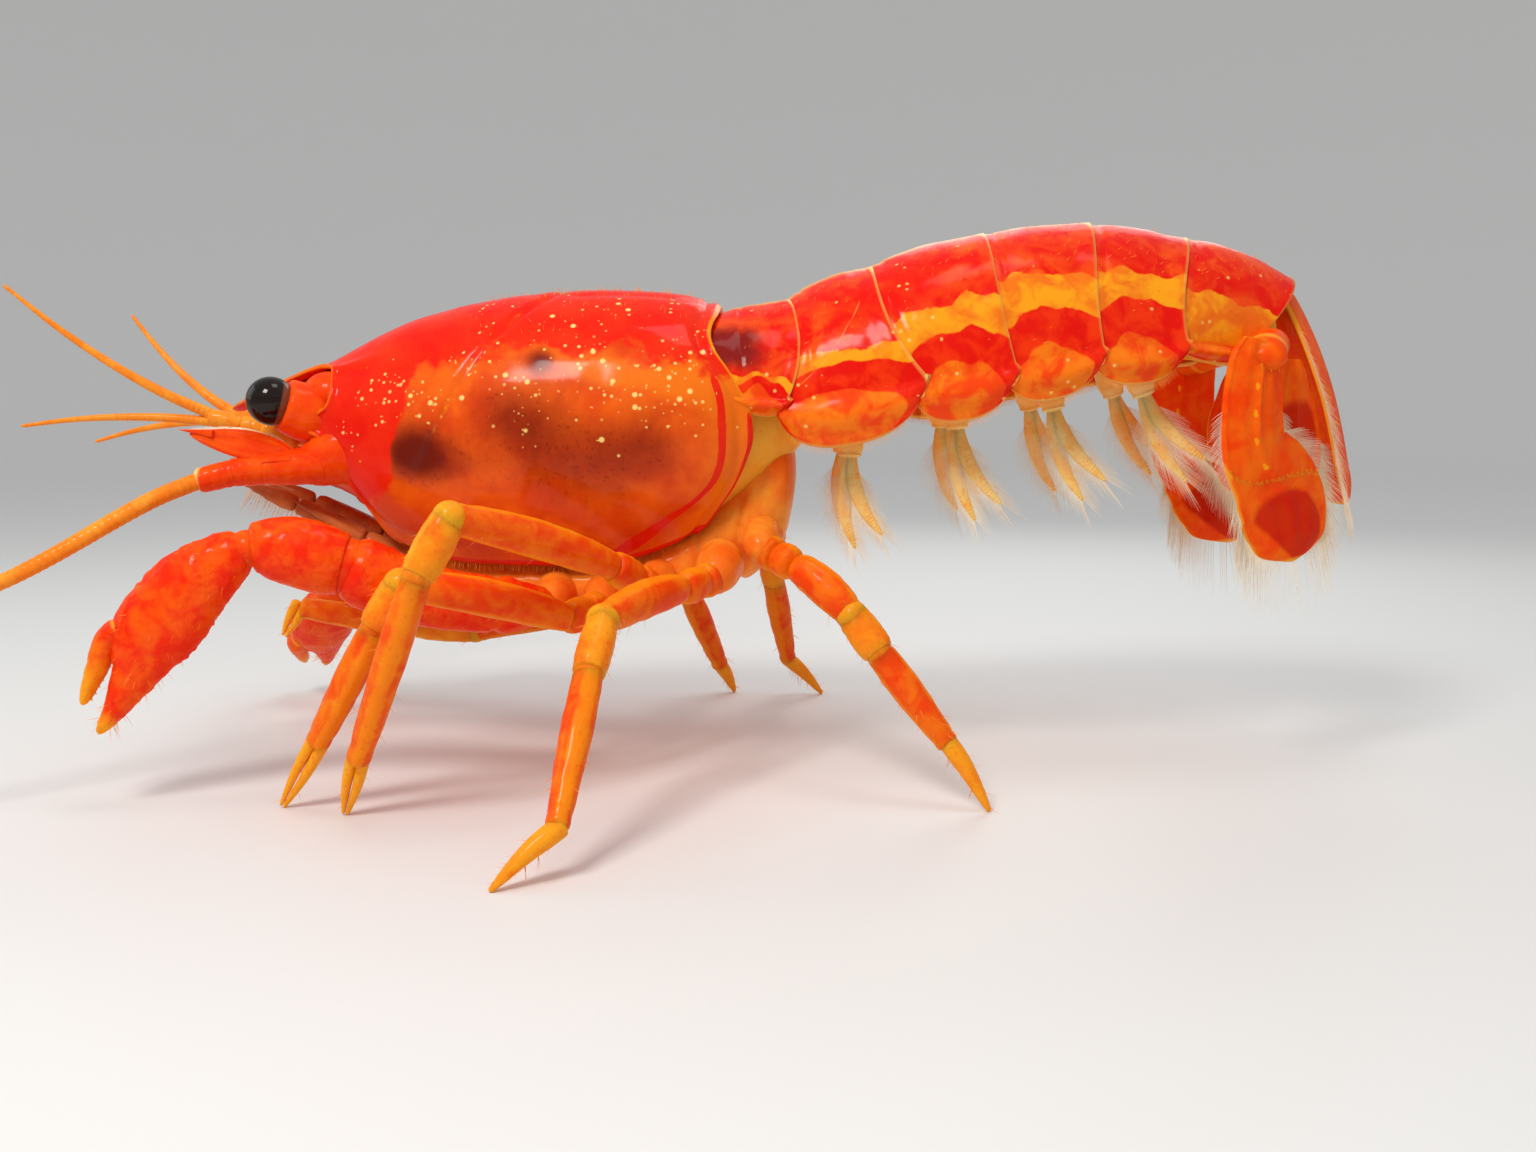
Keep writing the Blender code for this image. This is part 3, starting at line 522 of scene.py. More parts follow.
def paint_carapace(tree):
    """Red back with a ragged edge, cloudy orange flanks, dark blotches, pale rims, cream dots, and pale
    specks high on the back that are painted glints.
    """
    cloud = placed(tree, MOTTLE, Scale=620.0, Contrast=0.17)
    colour = blended(tree, cloud["Cloud"], FLANK, ORANGE)
    colour = blended(tree, ragged(tree, "pale", 0.6, 0.9, 0.4, 1100.0), colour, EDGE_ORANGE, 0.75)
    low = step(tree, attribute(tree, "back"), -3.2, -5.8)
    colour = blended(tree, low, colour, PALE_FLANK, 0.55)
    dark = attribute(tree, "cloud")
    shade = ragged(tree, dark, 0.45, 0.8, 0.4, 800.0)
    colour = blended(tree, shade, colour, SHADE, 0.7)
    colour = blended(tree, ragged(tree, dark, 0.95, 0.7, 0.5, 1100.0), colour, MAROON, 0.9)
    colour = blended(tree, times(tree, cloud["Fleck"], shade), colour, SOOT, 0.5)
    red = ragged(tree, "back", 0.0, 2.2, 0.22, 900.0)
    colour = blended(tree, red, colour, blended(tree, clouds(tree, 900.0, 0.3), RED, CRIMSON))
    # Cream dots; over the patches high on the back they are painted glints that stand in for highlights
    for scale, spread_share, strength in ((3300.0, 0.5, 0.85), (5200.0, 0.6, 0.7), (8500.0, 0.35, 0.5)):
        share = times(tree, attribute(tree, "dotty"), spread_share)
        dots = placed(tree, DOTS, Scale=scale, Size=0.32, Share=share)["Mask"]
        colour = blended(tree, dots, colour, CREAM, strength)
    return blended(tree, ragged(tree, "rim", 0.55, 0.25, 0.3, 1800.0), colour, YELLOW)


def paint_plate(tree):
    """Back plates of the abdomen: red above, a ragged yellow band, a red patch and orange lobes."""
    mottle = clouds(tree, 1300.0, 0.12)
    crown = blended(tree, times(tree, clouds(tree, 600.0, 0.2), mottle), RED, CROWN_RED)
    amber = blended(tree, mottle, YELLOW, DULL_AMBER)
    colour = blended(tree, ragged(tree, "back", 0.5, 0.9, 0.07), crown, amber)
    patch = blended(tree, mottle, RED, PATCH_RED)
    colour = blended(tree, ragged(tree, "pale", 0.5, 0.5, 0.07), colour, patch)
    lobe = blended(tree, mottle, LOBE_RED, LOBE_ORANGE)
    colour = blended(tree, ragged(tree, "dotty", 0.5, 0.8, 0.16, 1200.0), colour, lobe)
    colour = blended(tree, ragged(tree, "cloud", 0.55, 1.0, 0.4, 1100.0), colour, PLUM)
    dots = placed(tree, DOTS, Scale=4600.0, Size=0.3, Share=0.05)["Mask"]
    colour = blended(tree, dots, colour, CREAM, 0.6)
    return rimmed(tree, colour, 0.35, 0.85, PLATE_RIM)


def paint_by_length(middle, ends, tip, mottled, edge=0.16, rim_glow_strength=0.0):
    """A limb's colour: its middle, paler joints at both ends and a clear tip, by share of its length,
    and painted light along its top and bottom edges, where light glows through the shell's rim. tint makes a
    segment yellower."""
    def paint(tree):
        place = map_shares(tree)
        cloud = placed(tree, MOTTLE, Scale=1300.0, Contrast=0.16)
        colour = blended(tree, cloud["Cloud"], middle, mottled, 0.8)
        around = sums(tree, "SINE", times(tree, place[1], 2 * pi))
        # Painted light: the ends colour along the limb's top and bottom edges stands in for light glowing
        # through its rim
        keel_and_rim_glow = ragged(tree, sums(tree, "ABSOLUTE", around), 0.86, 0.35, 0.1)
        colour = blended(tree, keel_and_rim_glow, colour, ends, rim_glow_strength)
        off_middle = sums(tree, "ABSOLUTE", sums(tree, "SUBTRACT", place[0], 0.5))
        colour = blended(tree, ragged(tree, off_middle, 0.5 - edge, 0.16, 0.09), colour, ends, 0.85)
        colour = blended(tree, ragged(tree, "tint", 0.5, 0.5, 0.25), colour, tip)
        colour = blended(tree, cloud["Fleck"], colour, FLECK_RED, 0.3)
        return rimmed(tree, colour, 0.3, 0.9, LIMB_RIM)
    return paint


def paint_fan(tree):
    """Tail plates: red, darker inwards and at the tip, with a bright rim and a row of yellow dots."""
    colour = blended(tree, clouds(tree, 1200.0, 0.2), FAN_RED, FAN_ORANGE)
    colour = blended(tree, ragged(tree, "cloud", 0.5, 0.25, 0.12, 1400.0), colour, DEEP_RED, 0.85)
    colour = blended(tree, step(tree, attribute(tree, "dotty"), 0.45, 0.75), colour, YELLOW)
    colour = blended(tree, step(tree, map_shares(tree)[0], 0.08, 0.0), colour, AMBER, 0.6)
    return rimmed(tree, colour, 0.3, 0.8, FAN_RIM)


def paint_eye(tree):
    """Black-brown with a paler band round the rim where the facets end."""
    colour = blended(tree, clouds(tree, 1500.0, 0.25), EYE_BLACK, EYE_BROWN)
    return rimmed(tree, colour, 0.35, 0.95, EYE_RIM)


def plain_cloud(first, second, scale=900.0, contrast=0.2):
    """One colour clouded with another, with small orange flecks."""
    def paint(tree):
        cloud = placed(tree, MOTTLE, Scale=scale, Contrast=contrast)
        colour = blended(tree, cloud["Cloud"], first, second)
        colour = blended(tree, cloud["Fleck"], colour, ORANGE, 0.3)
        return rimmed(tree, colour, 0.3, 0.9, CREAM)
    return paint


SHELL = finish("carapace_shell", paint_carapace, roughness=0.33, coat=0.22, glow=0.2)
PLATE = finish("abdomen_plate", paint_plate, roughness=0.34, coat=0.2, coat_roughness=0.12)
FAN = finish("tail_plate", paint_fan, roughness=0.38, coat=0.1, glow=0.3)
CLAW = finish("claw_shell", paint_by_length(CLAW_RED, CLAW_ENDS, YELLOW, CLAW_ORANGE, 0.03), pits=0.9,
              relief=0.55)
LEG = finish("leg_shell", paint_by_length(LEG_RED, LEG_ENDS_AND_RIM_GLOW, LEG_TIP, LEG_ORANGE, 0.08, 0.6), glow=0.4)
ORANGE_SHELL = finish("face_shell", plain_cloud(FACE_RED, FACE_ORANGE), glow=0.0)
JAW_LEG = finish("jaw_leg", plain_cloud(JAW_BROWN, PALE_JAW), glow=0.0)
FEELER = finish("feeler", paint_by_length(FEELER_ORANGE, AMBER, YELLOW, FEELER_AMBER, 0.02), roughness=0.4,
                coat=0.2, glow=0.0, relief=0.15)
SKIN = finish("soft_skin", plain_cloud(SKIN_YELLOW, SKIN_AMBER, 600.0, 0.25), roughness=0.42, coat=0.15,
              coat_roughness=0.2, glow=0.5, depth=0.6, pits=0.1)
BREAST = finish("breast_plates", plain_cloud(BREAST_ORANGE, BREAST_AMBER, 700.0), roughness=0.38, coat=0.15,
                glow=0.0)
PADDLE = finish("swimmeret_skin", plain_cloud(PADDLE_CREAM, PADDLE_AMBER, 1100.0), roughness=0.42, glow=0.5)
EYE = finish("eye_cornea", paint_eye, roughness=0.14, coat=0.5, coat_roughness=0.03, glow=0.0, pits=0.5,
             relief=0.12, gloss_swing=0.04)
BRISTLE = finish("short_bristle", plain_cloud(BRISTLE_ORANGE, PALE_BRISTLE), roughness=0.5, coat=0.0,
                 glow=0.0, relief=0.0)
HAIR = finish("long_hair", plain_cloud(HAIR_TAN, HAIR_CREAM), roughness=0.5, coat=0.0, glow=0.0, relief=0.0)


# Carapace

SHELL_TOP = [(-16.05, 10.66), (-15.5, 10.9), (-14.5, 11.38), (-13.5, 11.87), (-12.75, 12.2), (-11.0, 13.1),
             (-9.5, 13.6), (-8.0, 13.92), (-6.5, 14.1), (-5.0, 14.18), (-3.5, 14.15), (-2.0, 13.94),
             (-1.2, 13.5), (-0.45, 12.4)]
SHELL_FOOT = [(-16.05, 8.9), (-12.75, 8.8), (-11.9, 7.7), (-10.9, 6.65), (-9.5, 6.0), (-7.5, 5.8),
              (-5.2, 5.8), (-4.1, 5.95), (-3.0, 6.3), (-1.9, 6.9), (-1.1, 7.6), (-0.45, 8.6)]
SHELL_HALF = [(-16.05, 1.75), (-14.5, 1.95), (-13.5, 2.1), (-12.75, 2.3), (-11.0, 2.95), (-9.0, 3.45),
              (-6.5, 3.85), (-4.0, 3.95), (-2.2, 3.85), (-1.1, 3.6), (-0.45, 3.3)]
# Margins of the carapace, as (degrees down from the crown, x)
FRONT_MARGIN = [(0, -16.05), (3, -15.98), (9, -15.65), (16, -15.1), (23, -14.1), (28, -13.3), (33, -12.85),
                (40, -12.62), (52, -12.52), (68, -12.48), (82, -12.6), (90, -12.85), (96, -13.3),
                (101, -12.95), (110, -12.72), (120, -12.5), (134, -12.0), (150, -10.8)]
HIND_MARGIN = [(0, -1.35), (25, -1.42), (45, -1.6), (56, -1.45), (66, -1.0), (76, -0.66), (90, -0.45),
               (105, -0.42), (118, -0.58), (130, -0.9), (150, -1.9)]
NECK_GROOVE = [(0, -6.0), (12, -6.15), (25, -6.6), (38, -7.25), (48, -7.75), (58, -8.2), (68, -8.6),
               (80, -9.0), (92, -9.45), (104, -10.1)]
RED_EDGE = [(-12.6, 10.9), (-10.8, 11.45), (-9.4, 11.75), (-8.2, 12.25), (-6.8, 12.6), (-5.2, 12.45),
            (-3.2, 12.1), (-1.0, 11.7)]
SHELL_REACH = 150           # degrees down from the crown to the carapace's lower margin
# Dark places on the flank, as (x, z, width, height, strength)
BLOTCHES = [(-9.95, 9.5, 0.95, 0.75, 1.6), (-8.9, 9.1, 0.9, 0.6, 0.5), (-6.3, 12.0, 0.4, 0.35, 1.3),
            (-7.0, 10.5, 1.4, 1.0, 0.8), (-5.0, 9.3, 2.4, 1.2, 0.8), (-3.2, 9.8, 1.1, 1.0, 0.4)]
# The red line that curves down inside the hind margin and forward over the lower flank, as (z, x)
RED_ARC = [(6.3, -4.9), (6.76, -4.03), (7.48, -3.02), (8.05, -2.17), (8.45, -1.72), (8.75, -1.49),
           (9.1, -1.35), (9.6, -1.27), (10.95, -1.32), (11.64, -1.55)]
# Rows and patches of cream dots, as (x, z, reach, share); the patches at z 12.8 and above are painted glints
DOT_AND_GLINT_PLACES = [(-11.2, 10.9, 0.55, 0.6), (-10.3, 11.3, 0.6, 0.7), (-9.3, 10.7, 0.4, 0.95),
              (-8.2, 11.7, 0.6, 0.7), (-6.6, 11.5, 0.8, 0.6), (-4.6, 11.6, 1.2, 0.36), (-2.6, 11.2, 1.0, 0.5),
              (-2.3, 12.8, 0.8, 0.4), (-12.0, 9.9, 0.5, 0.4), (-6.8, 10.2, 0.7, 0.2), (-5.2, 13.1, 1.1, 0.2),
              (-8.0, 13.0, 0.7, 0.25)]


def shell_point(x, degrees, side, proud=0.0):
    """A point of the carapace's skin, some degrees down from the crown."""
    top, foot, half = along(SHELL_TOP, x), along(SHELL_FOOT, x), along(SHELL_HALF, x)
    widest = foot + 0.52 * (top - foot)
    across, rise = sin(radians(degrees)), cos(radians(degrees))
    if rise >= 0:
        y, z = half * across ** 0.92, widest + (top - widest) * rise ** 1.05
    else:
        y = half * across ** 0.62 * (1 - 0.12 * rise * rise)
        z = widest - (widest - foot) * (-rise) ** 0.72
    out = Vector((0, y, z - widest)).normalized()
    return Vector((x, side * (y + out.y * proud), z + out.z * proud))


def shell_relief(x, degrees, from_front, from_back):
    """How far the carapace stands proud at a place: grooves, ridges and raised margins."""
    off_neck = (x - along(NECK_GROOVE, degrees)) * 0.85
    proud = -0.1 * bump(off_neck, 0, 0.1) * eased(108, 90, degrees)
    proud += 0.02 * bump(off_neck, -0.3, 0.2) * eased(100, 70, degrees)
    proud -= 0.06 * bump(degrees, 17, 3.5) * eased(-6.2, -5.4, x) * eased(-1.6, -2.2, x)
    proud += 0.1 * bump(degrees, 44, 4.5) * eased(-10.6, -12.2, x) * eased(-12.75, -12.4, x)
    on_beak = eased(-12.2, -13.1, x)
    proud += on_beak * (0.17 * exp(-from_front / 0.16) - 0.05 * bump(degrees, 0, 12))
    proud += (1 - on_beak) * 0.07 * bump(from_front, 0.05, 0.1)
    proud += 0.06 * bump(from_back, 0.1, 0.11) - 0.07 * bump(from_back, 0.42, 0.14)
    proud += 0.05 * bump(degrees, SHELL_REACH - 4, 3.0) - 0.04 * bump(degrees, SHELL_REACH - 13, 3.5)
    return proud + 0.02 * ripple((x, degrees / 20, 0), 0.9)


def carapace():
    bm = sketch()

    def where(s, t):
        turn = (2 * t - 1) * SHELL_REACH
        degrees = abs(turn)
        front, back = along(FRONT_MARGIN, degrees), along(HIND_MARGIN, degrees)
        x = front + (back - front) * spread(s)
        return x, degrees, copysign(1, turn), x - front, back - x

    def place(s, t):
        x, degrees, side, from_front, from_back = where(s, t)
        return shell_point(x, degrees, side, shell_relief(x, degrees, from_front, from_back))

    def paint(s, t, point):
        x, degrees, side, from_front, from_back = where(s, t)
        cloud = sum(strength * bump(x, bx, wide) * bump(point.z, bz, high)
                    for bx, bz, wide, high, strength in BLOTCHES)
        # dotty also holds the patches of painted glints high on the back
        dotty = sum(share * bump(x, dx, reach) * bump(point.z, dz, reach)
                    for dx, dz, reach, share in DOT_AND_GLINT_PLACES)
        seam = bump((x - along(NECK_GROOVE, degrees)) * 0.85, -0.05, 0.09) * eased(15, 35, degrees)
        rim = 0.75 * bump(from_back, 0.05, 0.08) * eased(100, 80, degrees) + 0.5 * bump(from_front, 0.0, 0.08)
        rim += (0.3 + 0.5 * ripple(point, 0.5)) * seam * eased(96, 84, degrees)
        rim += 0.8 * bump(degrees, 0, 6.0) * eased(-6.6, -4.6, x)
        off_edge = point.z - along(RED_EDGE, x)
        low = eased(8.3, 6.9, point.z)
        arc = bump((x - along(RED_ARC, point.z)) * (1 - 0.25 * low), 0, 0.12 + 0.14 * low)
        arc *= eased(11.9, 11.3, point.z) * eased(5.9, 6.4, point.z)
        hem = bump(from_back, 0.08, 0.09) * eased(84, 96, degrees)
        foot = bump(degrees, SHELL_REACH - 3, 3.0) * eased(-10.4, -9.6, x)
        red = off_edge + 3.4 * eased(-9.7, -11.4, x - 0.12 * (10.6 - point.z))
        red = max(red, 3.0 * max(arc, hem, foot) - 1.3)
        pale = eased(2.0, 0.2, from_back) + 0.5 * eased(120, 140, degrees)
        pale += 1.1 * bump(off_edge, -0.55, 0.55) * eased(-6.8, -4.5, x)
        return {"back": red, "rim": rim, "cloud": cloud, "dotty": min(dotty, 1.0), "pale": pale}

    skin(bm, 130, 168, place, wrap=False, paint=paint)
    piece("carapace_shell", bm, SHELL, ["carapace"], wall=0.13)


# Soft body inside the shell, seen at the waist, between the rings and from below: (x, foot, top, half)
SOFT_BODY = [(-12.3, 9.2, 11.5, 1.6), (-11.4, 7.8, 12.2, 2.3), (-10, 6.75, 12.9, 2.8), (-8, 6.3, 13.4, 3.2),
             (-5, 6.4, 13.7, 3.45), (-2.5, 7.0, 13.5, 3.45), (-1.2, 7.6, 12.9, 3.0), (-0.4, 8.2, 12.8, 2.7),
             (0.5, 9.0, 13.1, 2.5), (1.2, 9.9, 13.3, 2.6), (2.5, 10.65, 13.6, 2.8), (4, 11.1, 14.0, 2.9),
             (6.2, 11.65, 14.5, 2.9), (9, 12.05, 14.7, 2.8), (11.5, 12.2, 14.3, 2.5), (13.2, 12.0, 13.9, 2.0),
             (14.5, 12.2, 13.7, 1.6), (15.0, 12.5, 13.4, 1.0)]


def barrel_point(table, s, t, end, powers, relief):
    """A point of a closed body drawn from rows of (x, foot, top, half width). relief(x, angle) gives
    what it adds to the half width and to the half height, powers how square the section is."""
    share, angle = spread(s), 2 * pi * t
    x = table[0][0] + (table[-1][0] - table[0][0]) * share
    foot, top, half = (along(column(table, k), x) for k in (1, 2, 3))
    wider, higher = relief(x, angle)
    closing = rounded(min(share, 1 - share), end)
    y = (half + wider) * closing * squared(sin(angle), powers[0])
    lift = squared(cos(angle), powers[1]) * closing
    return Vector((x, y, (top + foot) / 2 + ((top - foot) / 2 + higher) * lift))


def soft_body():
    bm = sketch()

    def relief(x, angle):
        folds = 0.07 * cos((x - 0.4) * 2 * pi / 0.55) * bump(x, -0.1, 0.9)
        ribs = 0.12 * cos((x - 2.4) * 2 * pi / 2.6) * eased(1.5, 3.0, x)
        return folds, folds - ribs * max(0.0, -cos(angle))

    skin(bm, 110, 40, lambda s, t: barrel_point(SOFT_BODY, s, t, 0.012, (0.75, 0.85), relief))
    piece("soft_body", bm, SKIN)


# Breast plates under the thorax, with the round bases of the legs

COXAE = [((-6.15, 2.6, 5.1), 0.66), ((-4.75, 2.7, 5.12), 0.6), ((-3.2, 2.85, 5.5), 0.62),
         ((-1.4, 3.1, 6.0), 0.72), ((-0.15, 2.8, 6.75), 0.6)]
UNDERSIDE = [(-11.2, 5.5, 6.6, 0.8), (-10.2, 5.1, 6.6, 1.4), (-8.5, 4.75, 6.5, 1.9), (-6.5, 4.6, 6.4, 2.2),
             (-4.6, 4.65, 6.5, 2.35), (-3.2, 4.8, 7.1, 2.4), (-2.0, 5.05, 7.7, 2.4), (-1.1, 5.35, 8.6, 2.35),
             (-0.3, 5.8, 9.7, 2.25), (0.35, 6.5, 10.1, 2.05), (0.85, 7.7, 10.1, 1.6)]


def breast():
    bm = sketch()
    joints = [centre[0] for centre, radius in COXAE]

    def relief(x, angle):
        plates = sum(bump(x, j - 0.75, 0.16) for j in joints) * 0.22 * max(0.0, -cos(angle))
        creases = sum(bump(x - 0.2 * cos(angle), j - 0.7, 0.09) for j in joints[2:]) * 0.12
        # a raised keel along the middle of the underside
        keel_and_rim_glow = 0.16 * bump(sin(angle), 0, 0.16) * (cos(angle) < 0)
        uneven = 0.05 * ripple_round(x, angle, 3, 0.6)
        return uneven - creases, uneven - plates - keel_and_rim_glow

    skin(bm, 120, 48, lambda s, t: barrel_point(UNDERSIDE, s, t, 0.03, (0.8, 0.9), relief))
    for side in SIDES.values():
        for index, (centre, radius) in enumerate(COXAE):
            centre = mirrored(centre, side)
            inner = centre + Vector((0.05, -side * 0.9, 0.35))
            outer = centre + Vector((-0.12, side * radius * 1.1, 0.0))
            profile = [(0, radius, radius * 1.05), (0.45, radius * 0.9, radius),
                       (0.8, radius * 0.74, radius * 0.8), (1, radius * 0.6, radius * 0.62)]
            limb(bm, straight(inner, outer), profile, rows=30, sides=28, ends=(0.3, 0.5),
                 tint=0.2 * (index % 2), relief=lambda s, angle, n=index: 0.03 * ripple(
                     (s * 3, cos(angle) * 2 + n, sin(angle) * 2), 0.7))
    piece("breast_plates", bm, BREAST, ["thorax_underside"])


# Abdomen

JOINT_LINES = [
    ((-1.15, 13.62), (-1.2, 12.4), (-0.95, 11.2), 3.36),
    ((0.5, 13.88), (0.75, 12.4), (0.45, 11.0), 3.35),
    ((2.87, 14.8), (3.2, 13.1), (4.1, 11.6), 3.75),
    ((6.1, 15.75), (6.2, 14.0), (6.66, 11.95), 3.8),
    ((9.2, 16.1), (8.95, 14.2), (9.1, 12.4), 3.6),
    ((12.1, 15.7), (11.5, 14.1), (11.5, 12.6), 3.2),
    ((15.25, 14.6), (14.6, 13.6), (13.55, 12.4), 2.3),
]
LOBE_DROP = [0.6, 1.62, 1.42, 1.22, 1.12, 0.5]       # how far each side lobe hangs below its joint lines
TERGITE_CROWN = [0.05, 0.22, 0.2, 0.12, 0.12, 0.25]  # how far each back plate arches between them
# Where the yellow band starts and ends on each plate, as shares of the way down from the crown
BANDS = [(0.5, 0.6), (0.4, 0.55), (0.32, 0.53), (0.27, 0.5), (0.25, 0.47), (0.34, 0.72)]
ARCH_SHARE = 0.64           # share of a plate's half width that is back, the rest is its hanging lobe
OVERLAP = 0.16              # how far each plate reaches back over the next, in millimetres


def joint_point(line, h):
    """Point at height share h, 0 at the back's crown and 1 at the foot, on a joint line."""
    top, middle, foot = (Vector((p[0], 0, p[1])) for p in line[:3])
    return top * (1 - h) * (1 - 2 * h) + middle * 4 * h * (1 - h) + foot * h * (2 * h - 1)


def plate_point(index, along_ring, around, proud=0.0):
    """A point of a ring's plate: along it from its front joint line, and around it from -1 to 1."""
    front, back = JOINT_LINES[index], JOINT_LINES[index + 1]
    side, share = copysign(1, around), abs(around)
    h = min(share / ARCH_SHARE, 1.0)
    hang = max(0.0, (share - ARCH_SHARE) / (1 - ARCH_SHARE))
    point = joint_point(front, h).lerp(joint_point(back, h), along_ring)
    inside = min(max(along_ring, 0.0), 1.0)
    half = front[3] + (back[3] - front[3]) * inside + proud
    point.z += (TERGITE_CROWN[index] * 4 * inside * (1 - inside) + proud) * (1 - h)
    point.y = side * half * (1 - (1 - h) ** 2.1) ** (1 / 2.1)
    if hang:
        width = abs(2 * (along_ring + 0.06) / 1.12 - 1)
        round_off = max(0.0, 1 - width ** 2.3) ** (1 / 2.3)
        point.z -= LOBE_DROP[index] * round_off * hang
        point.y += side * (0.09 * (1 - cos(2 * pi * hang)) * round_off - 0.16 * hang * hang)
        point.x += 0.12 * sin(pi * hang) * (2 * along_ring - 1)
    return point


def abdomen_plate(index):
    bm = sketch()
    front, back = JOINT_LINES[index], JOINT_LINES[index + 1]
    length = (joint_point(back, 0.3) - joint_point(front, 0.3)).length
    before, beyond = (0.75 if index == 0 else 0.3) / length, OVERLAP / length

    def where(s, t):
        return -before + (1 + before + beyond) * s, 2 * t - 1

    def place(s, t):
        q, around = where(s, t)
        down = abs(around)
        tuck = -(0.05 if index == 0 else 0.17) * eased(0.09, -before, q)
        lip = (0.05 + 0.07 * eased(0.5, 0.7, down)) * (0.3 if index == 5 else 1.0)
        lip *= eased(-0.5, OVERLAP - 0.05, (q - 1) * length)
        step_in = -0.04 * bump(q * length, 0.42, 0.07) * eased(0.66, 0.5, down)
        edge = 0.05 * bump(down, 0.97, 0.02)
        disc = ((q - 0.5) / 0.6) ** 2 + ((down - 0.84) / 0.32) ** 2
        swell = 0.07 * max(0.0, 1 - disc) ** 1.5 * (0 < index < 5)
        at = (q * length, around * 5, index * 9.0)
        dents = 0.025 * ripple(at, 0.7) + 0.008 * ripple(at, 0.2)
        return plate_point(index, q, around, tuck + lip + step_in + edge + swell + dents)

    def paint(s, t, point):
        q, around = where(s, t)
        down = abs(around)
        rim = 0.75 * bump((1 + beyond - q) * length, 0.03, 0.07)
        rim += 0.8 * bump(down, 1.0, 0.028) * eased(ARCH_SHARE, 0.8, down)
        rim += 0.75 * bump(down, 0.0, 0.035)
        plum = 0.0
        if index == 0:
            plum = eased(0.85, 0.25, q) * eased(0.56, 0.36, down) * eased(0.06, 0.26, down)
        if index == 1:
            rim += 0.6 * bump(down, 0.62 - 0.52 * q, 0.014) * eased(0.02, 0.1, q) * eased(0.9, 0.8, q)
        wave = 0.05 * ripple((q * length * 1.3, index * 7.0, 0), 0.8)
        top, low = BANDS[index]
        band = eased(-0.06, 0.06, down - top - wave - 0.03 * q)
        patch = eased(-0.06, 0.06, down - low - 0.8 * wave + 0.07 * sin(pi * min(max(q, 0.0), 1.0)))
        inside = ((q - 0.45) / 0.45) ** 2 + ((down - 0.86 - wave) / (0.22 if index == 1 else 0.27)) ** 2
        lobe = eased(1.25, 0.75, inside) if index < 5 else eased(0.6, 0.66, down)
        return {"rim": rim, "cloud": plum, "back": band, "pale": patch, "dotty": lobe}

    skin(bm, 40, 110, place, wrap=False, paint=paint)
    piece(f"back_plate_{index + 1}", bm, PLATE, [f"abdomen_ring_{index + 1}"], wall=0.12)


# Tail fan: rows of (z, front x, rear x) for its side plates, and of ((x, z), half width) for the telson

OUTER_FAN = [(12.62, 13.1, 14.2), (12.2, 12.8, 14.4), (11.5, 12.6, 14.4), (10.3, 12.5, 14.45),
             (9.5, 12.55, 14.7), (8.9, 12.75, 15.4), (8.3, 13.05, 15.95), (7.8, 13.25, 16.15),
             (7.25, 13.5, 16.15), (6.85, 13.75, 16.0), (6.55, 14.1, 15.75), (6.38, 14.45, 15.45)]
INNER_FAN = [(12.1, 14.6, 15.1), (11.7, 14.4, 15.3), (11.2, 14.25, 15.45), (10.7, 14.1, 15.7),
             (10.0, 14.05, 15.9), (9.3, 14.15, 16.0), (8.7, 14.4, 16.0), (8.2, 14.8, 15.9),
             (7.9, 15.2, 15.65)]
TELSON = [((15.3, 14.4), 0.95), ((15.62, 13.95), 1.1), ((15.98, 13.3), 1.3), ((16.4, 12.4), 1.5),
          ((16.85, 11.2), 1.55), ((17.15, 10.1), 1.55), ((17.4, 9.0), 1.5), ((17.58, 8.3), 1.3),
          ((17.68, 7.8), 0.95)]
FAN_END = 0.93              # share along a tail plate at which it starts to round off


class Plate:
    """A thin tail plate on a centre line, bent away from its face towards both edges."""

    def __init__(self, stations, face, bend, thick):
        points = [centre for centre, half in stations]
        self.path = Path(points, up=face, steady=True)
        marks = distances(points)
        self.halves = [(mark / marks[-1], half) for mark, (centre, half) in zip(marks, stations)]
        self.bend, self.thick = bend, thick

    def half(self, share):
        beyond = max(0.0, (share - FAN_END) / (1 - FAN_END))
        return along(self.halves, share) * sqrt(max(0.0, 1 - beyond ** 2.2))

    def at(self, share, across, way=0.0):
        """A point of the plate: across it from -1 to 1, on its outer (way 1) or inner face (-1)."""
        centre, ahead, side, lift = self.path.at(share)
        half = self.half(share)
        thin = 0.06 + 0.94 * max(0.0, 1 - across * across) ** 0.5
        closing = min(1.0, sqrt(max(0.0, 1 - share)) * 3, 0.4 + share * 8)
        raised = 0.09 * bump(across, 0.0, 0.09) + 0.045 * bump(abs(across), 0.45, 0.07)
        raised = (raised + 0.05 * bump(abs(across), 0.93, 0.05)) * eased(0.98, 0.86, share)
        height = way * (self.thick / 2 * thin * closing + raised) - self.bend * half * across * across
        return centre + side * half * across + lift * height

    def draw(self, bm, rows, columns, paint):
        def place(s, t):
            off_edge = sin(2 * pi * t)
            way = copysign(1, off_edge) if abs(off_edge) > 1e-6 else 0
            return self.at(spread(s), cos(2 * pi * t), way)
        skin(bm, rows, columns, place, paint=paint)


# Each kind's table, (x offset, y, x where it has that y), widening, face, bend and thickness
FAN_KINDS = {"outer": (OUTER_FAN, (0.0, 3.95, 12.7), 1.08, (0.37, 0.93, 0.1), 0.1, 0.3),
             "inner": (INNER_FAN, (0.12, 1.95, 15.1), 1.3, (0.45, 0.88, 0.1), 0.12, 0.28)}


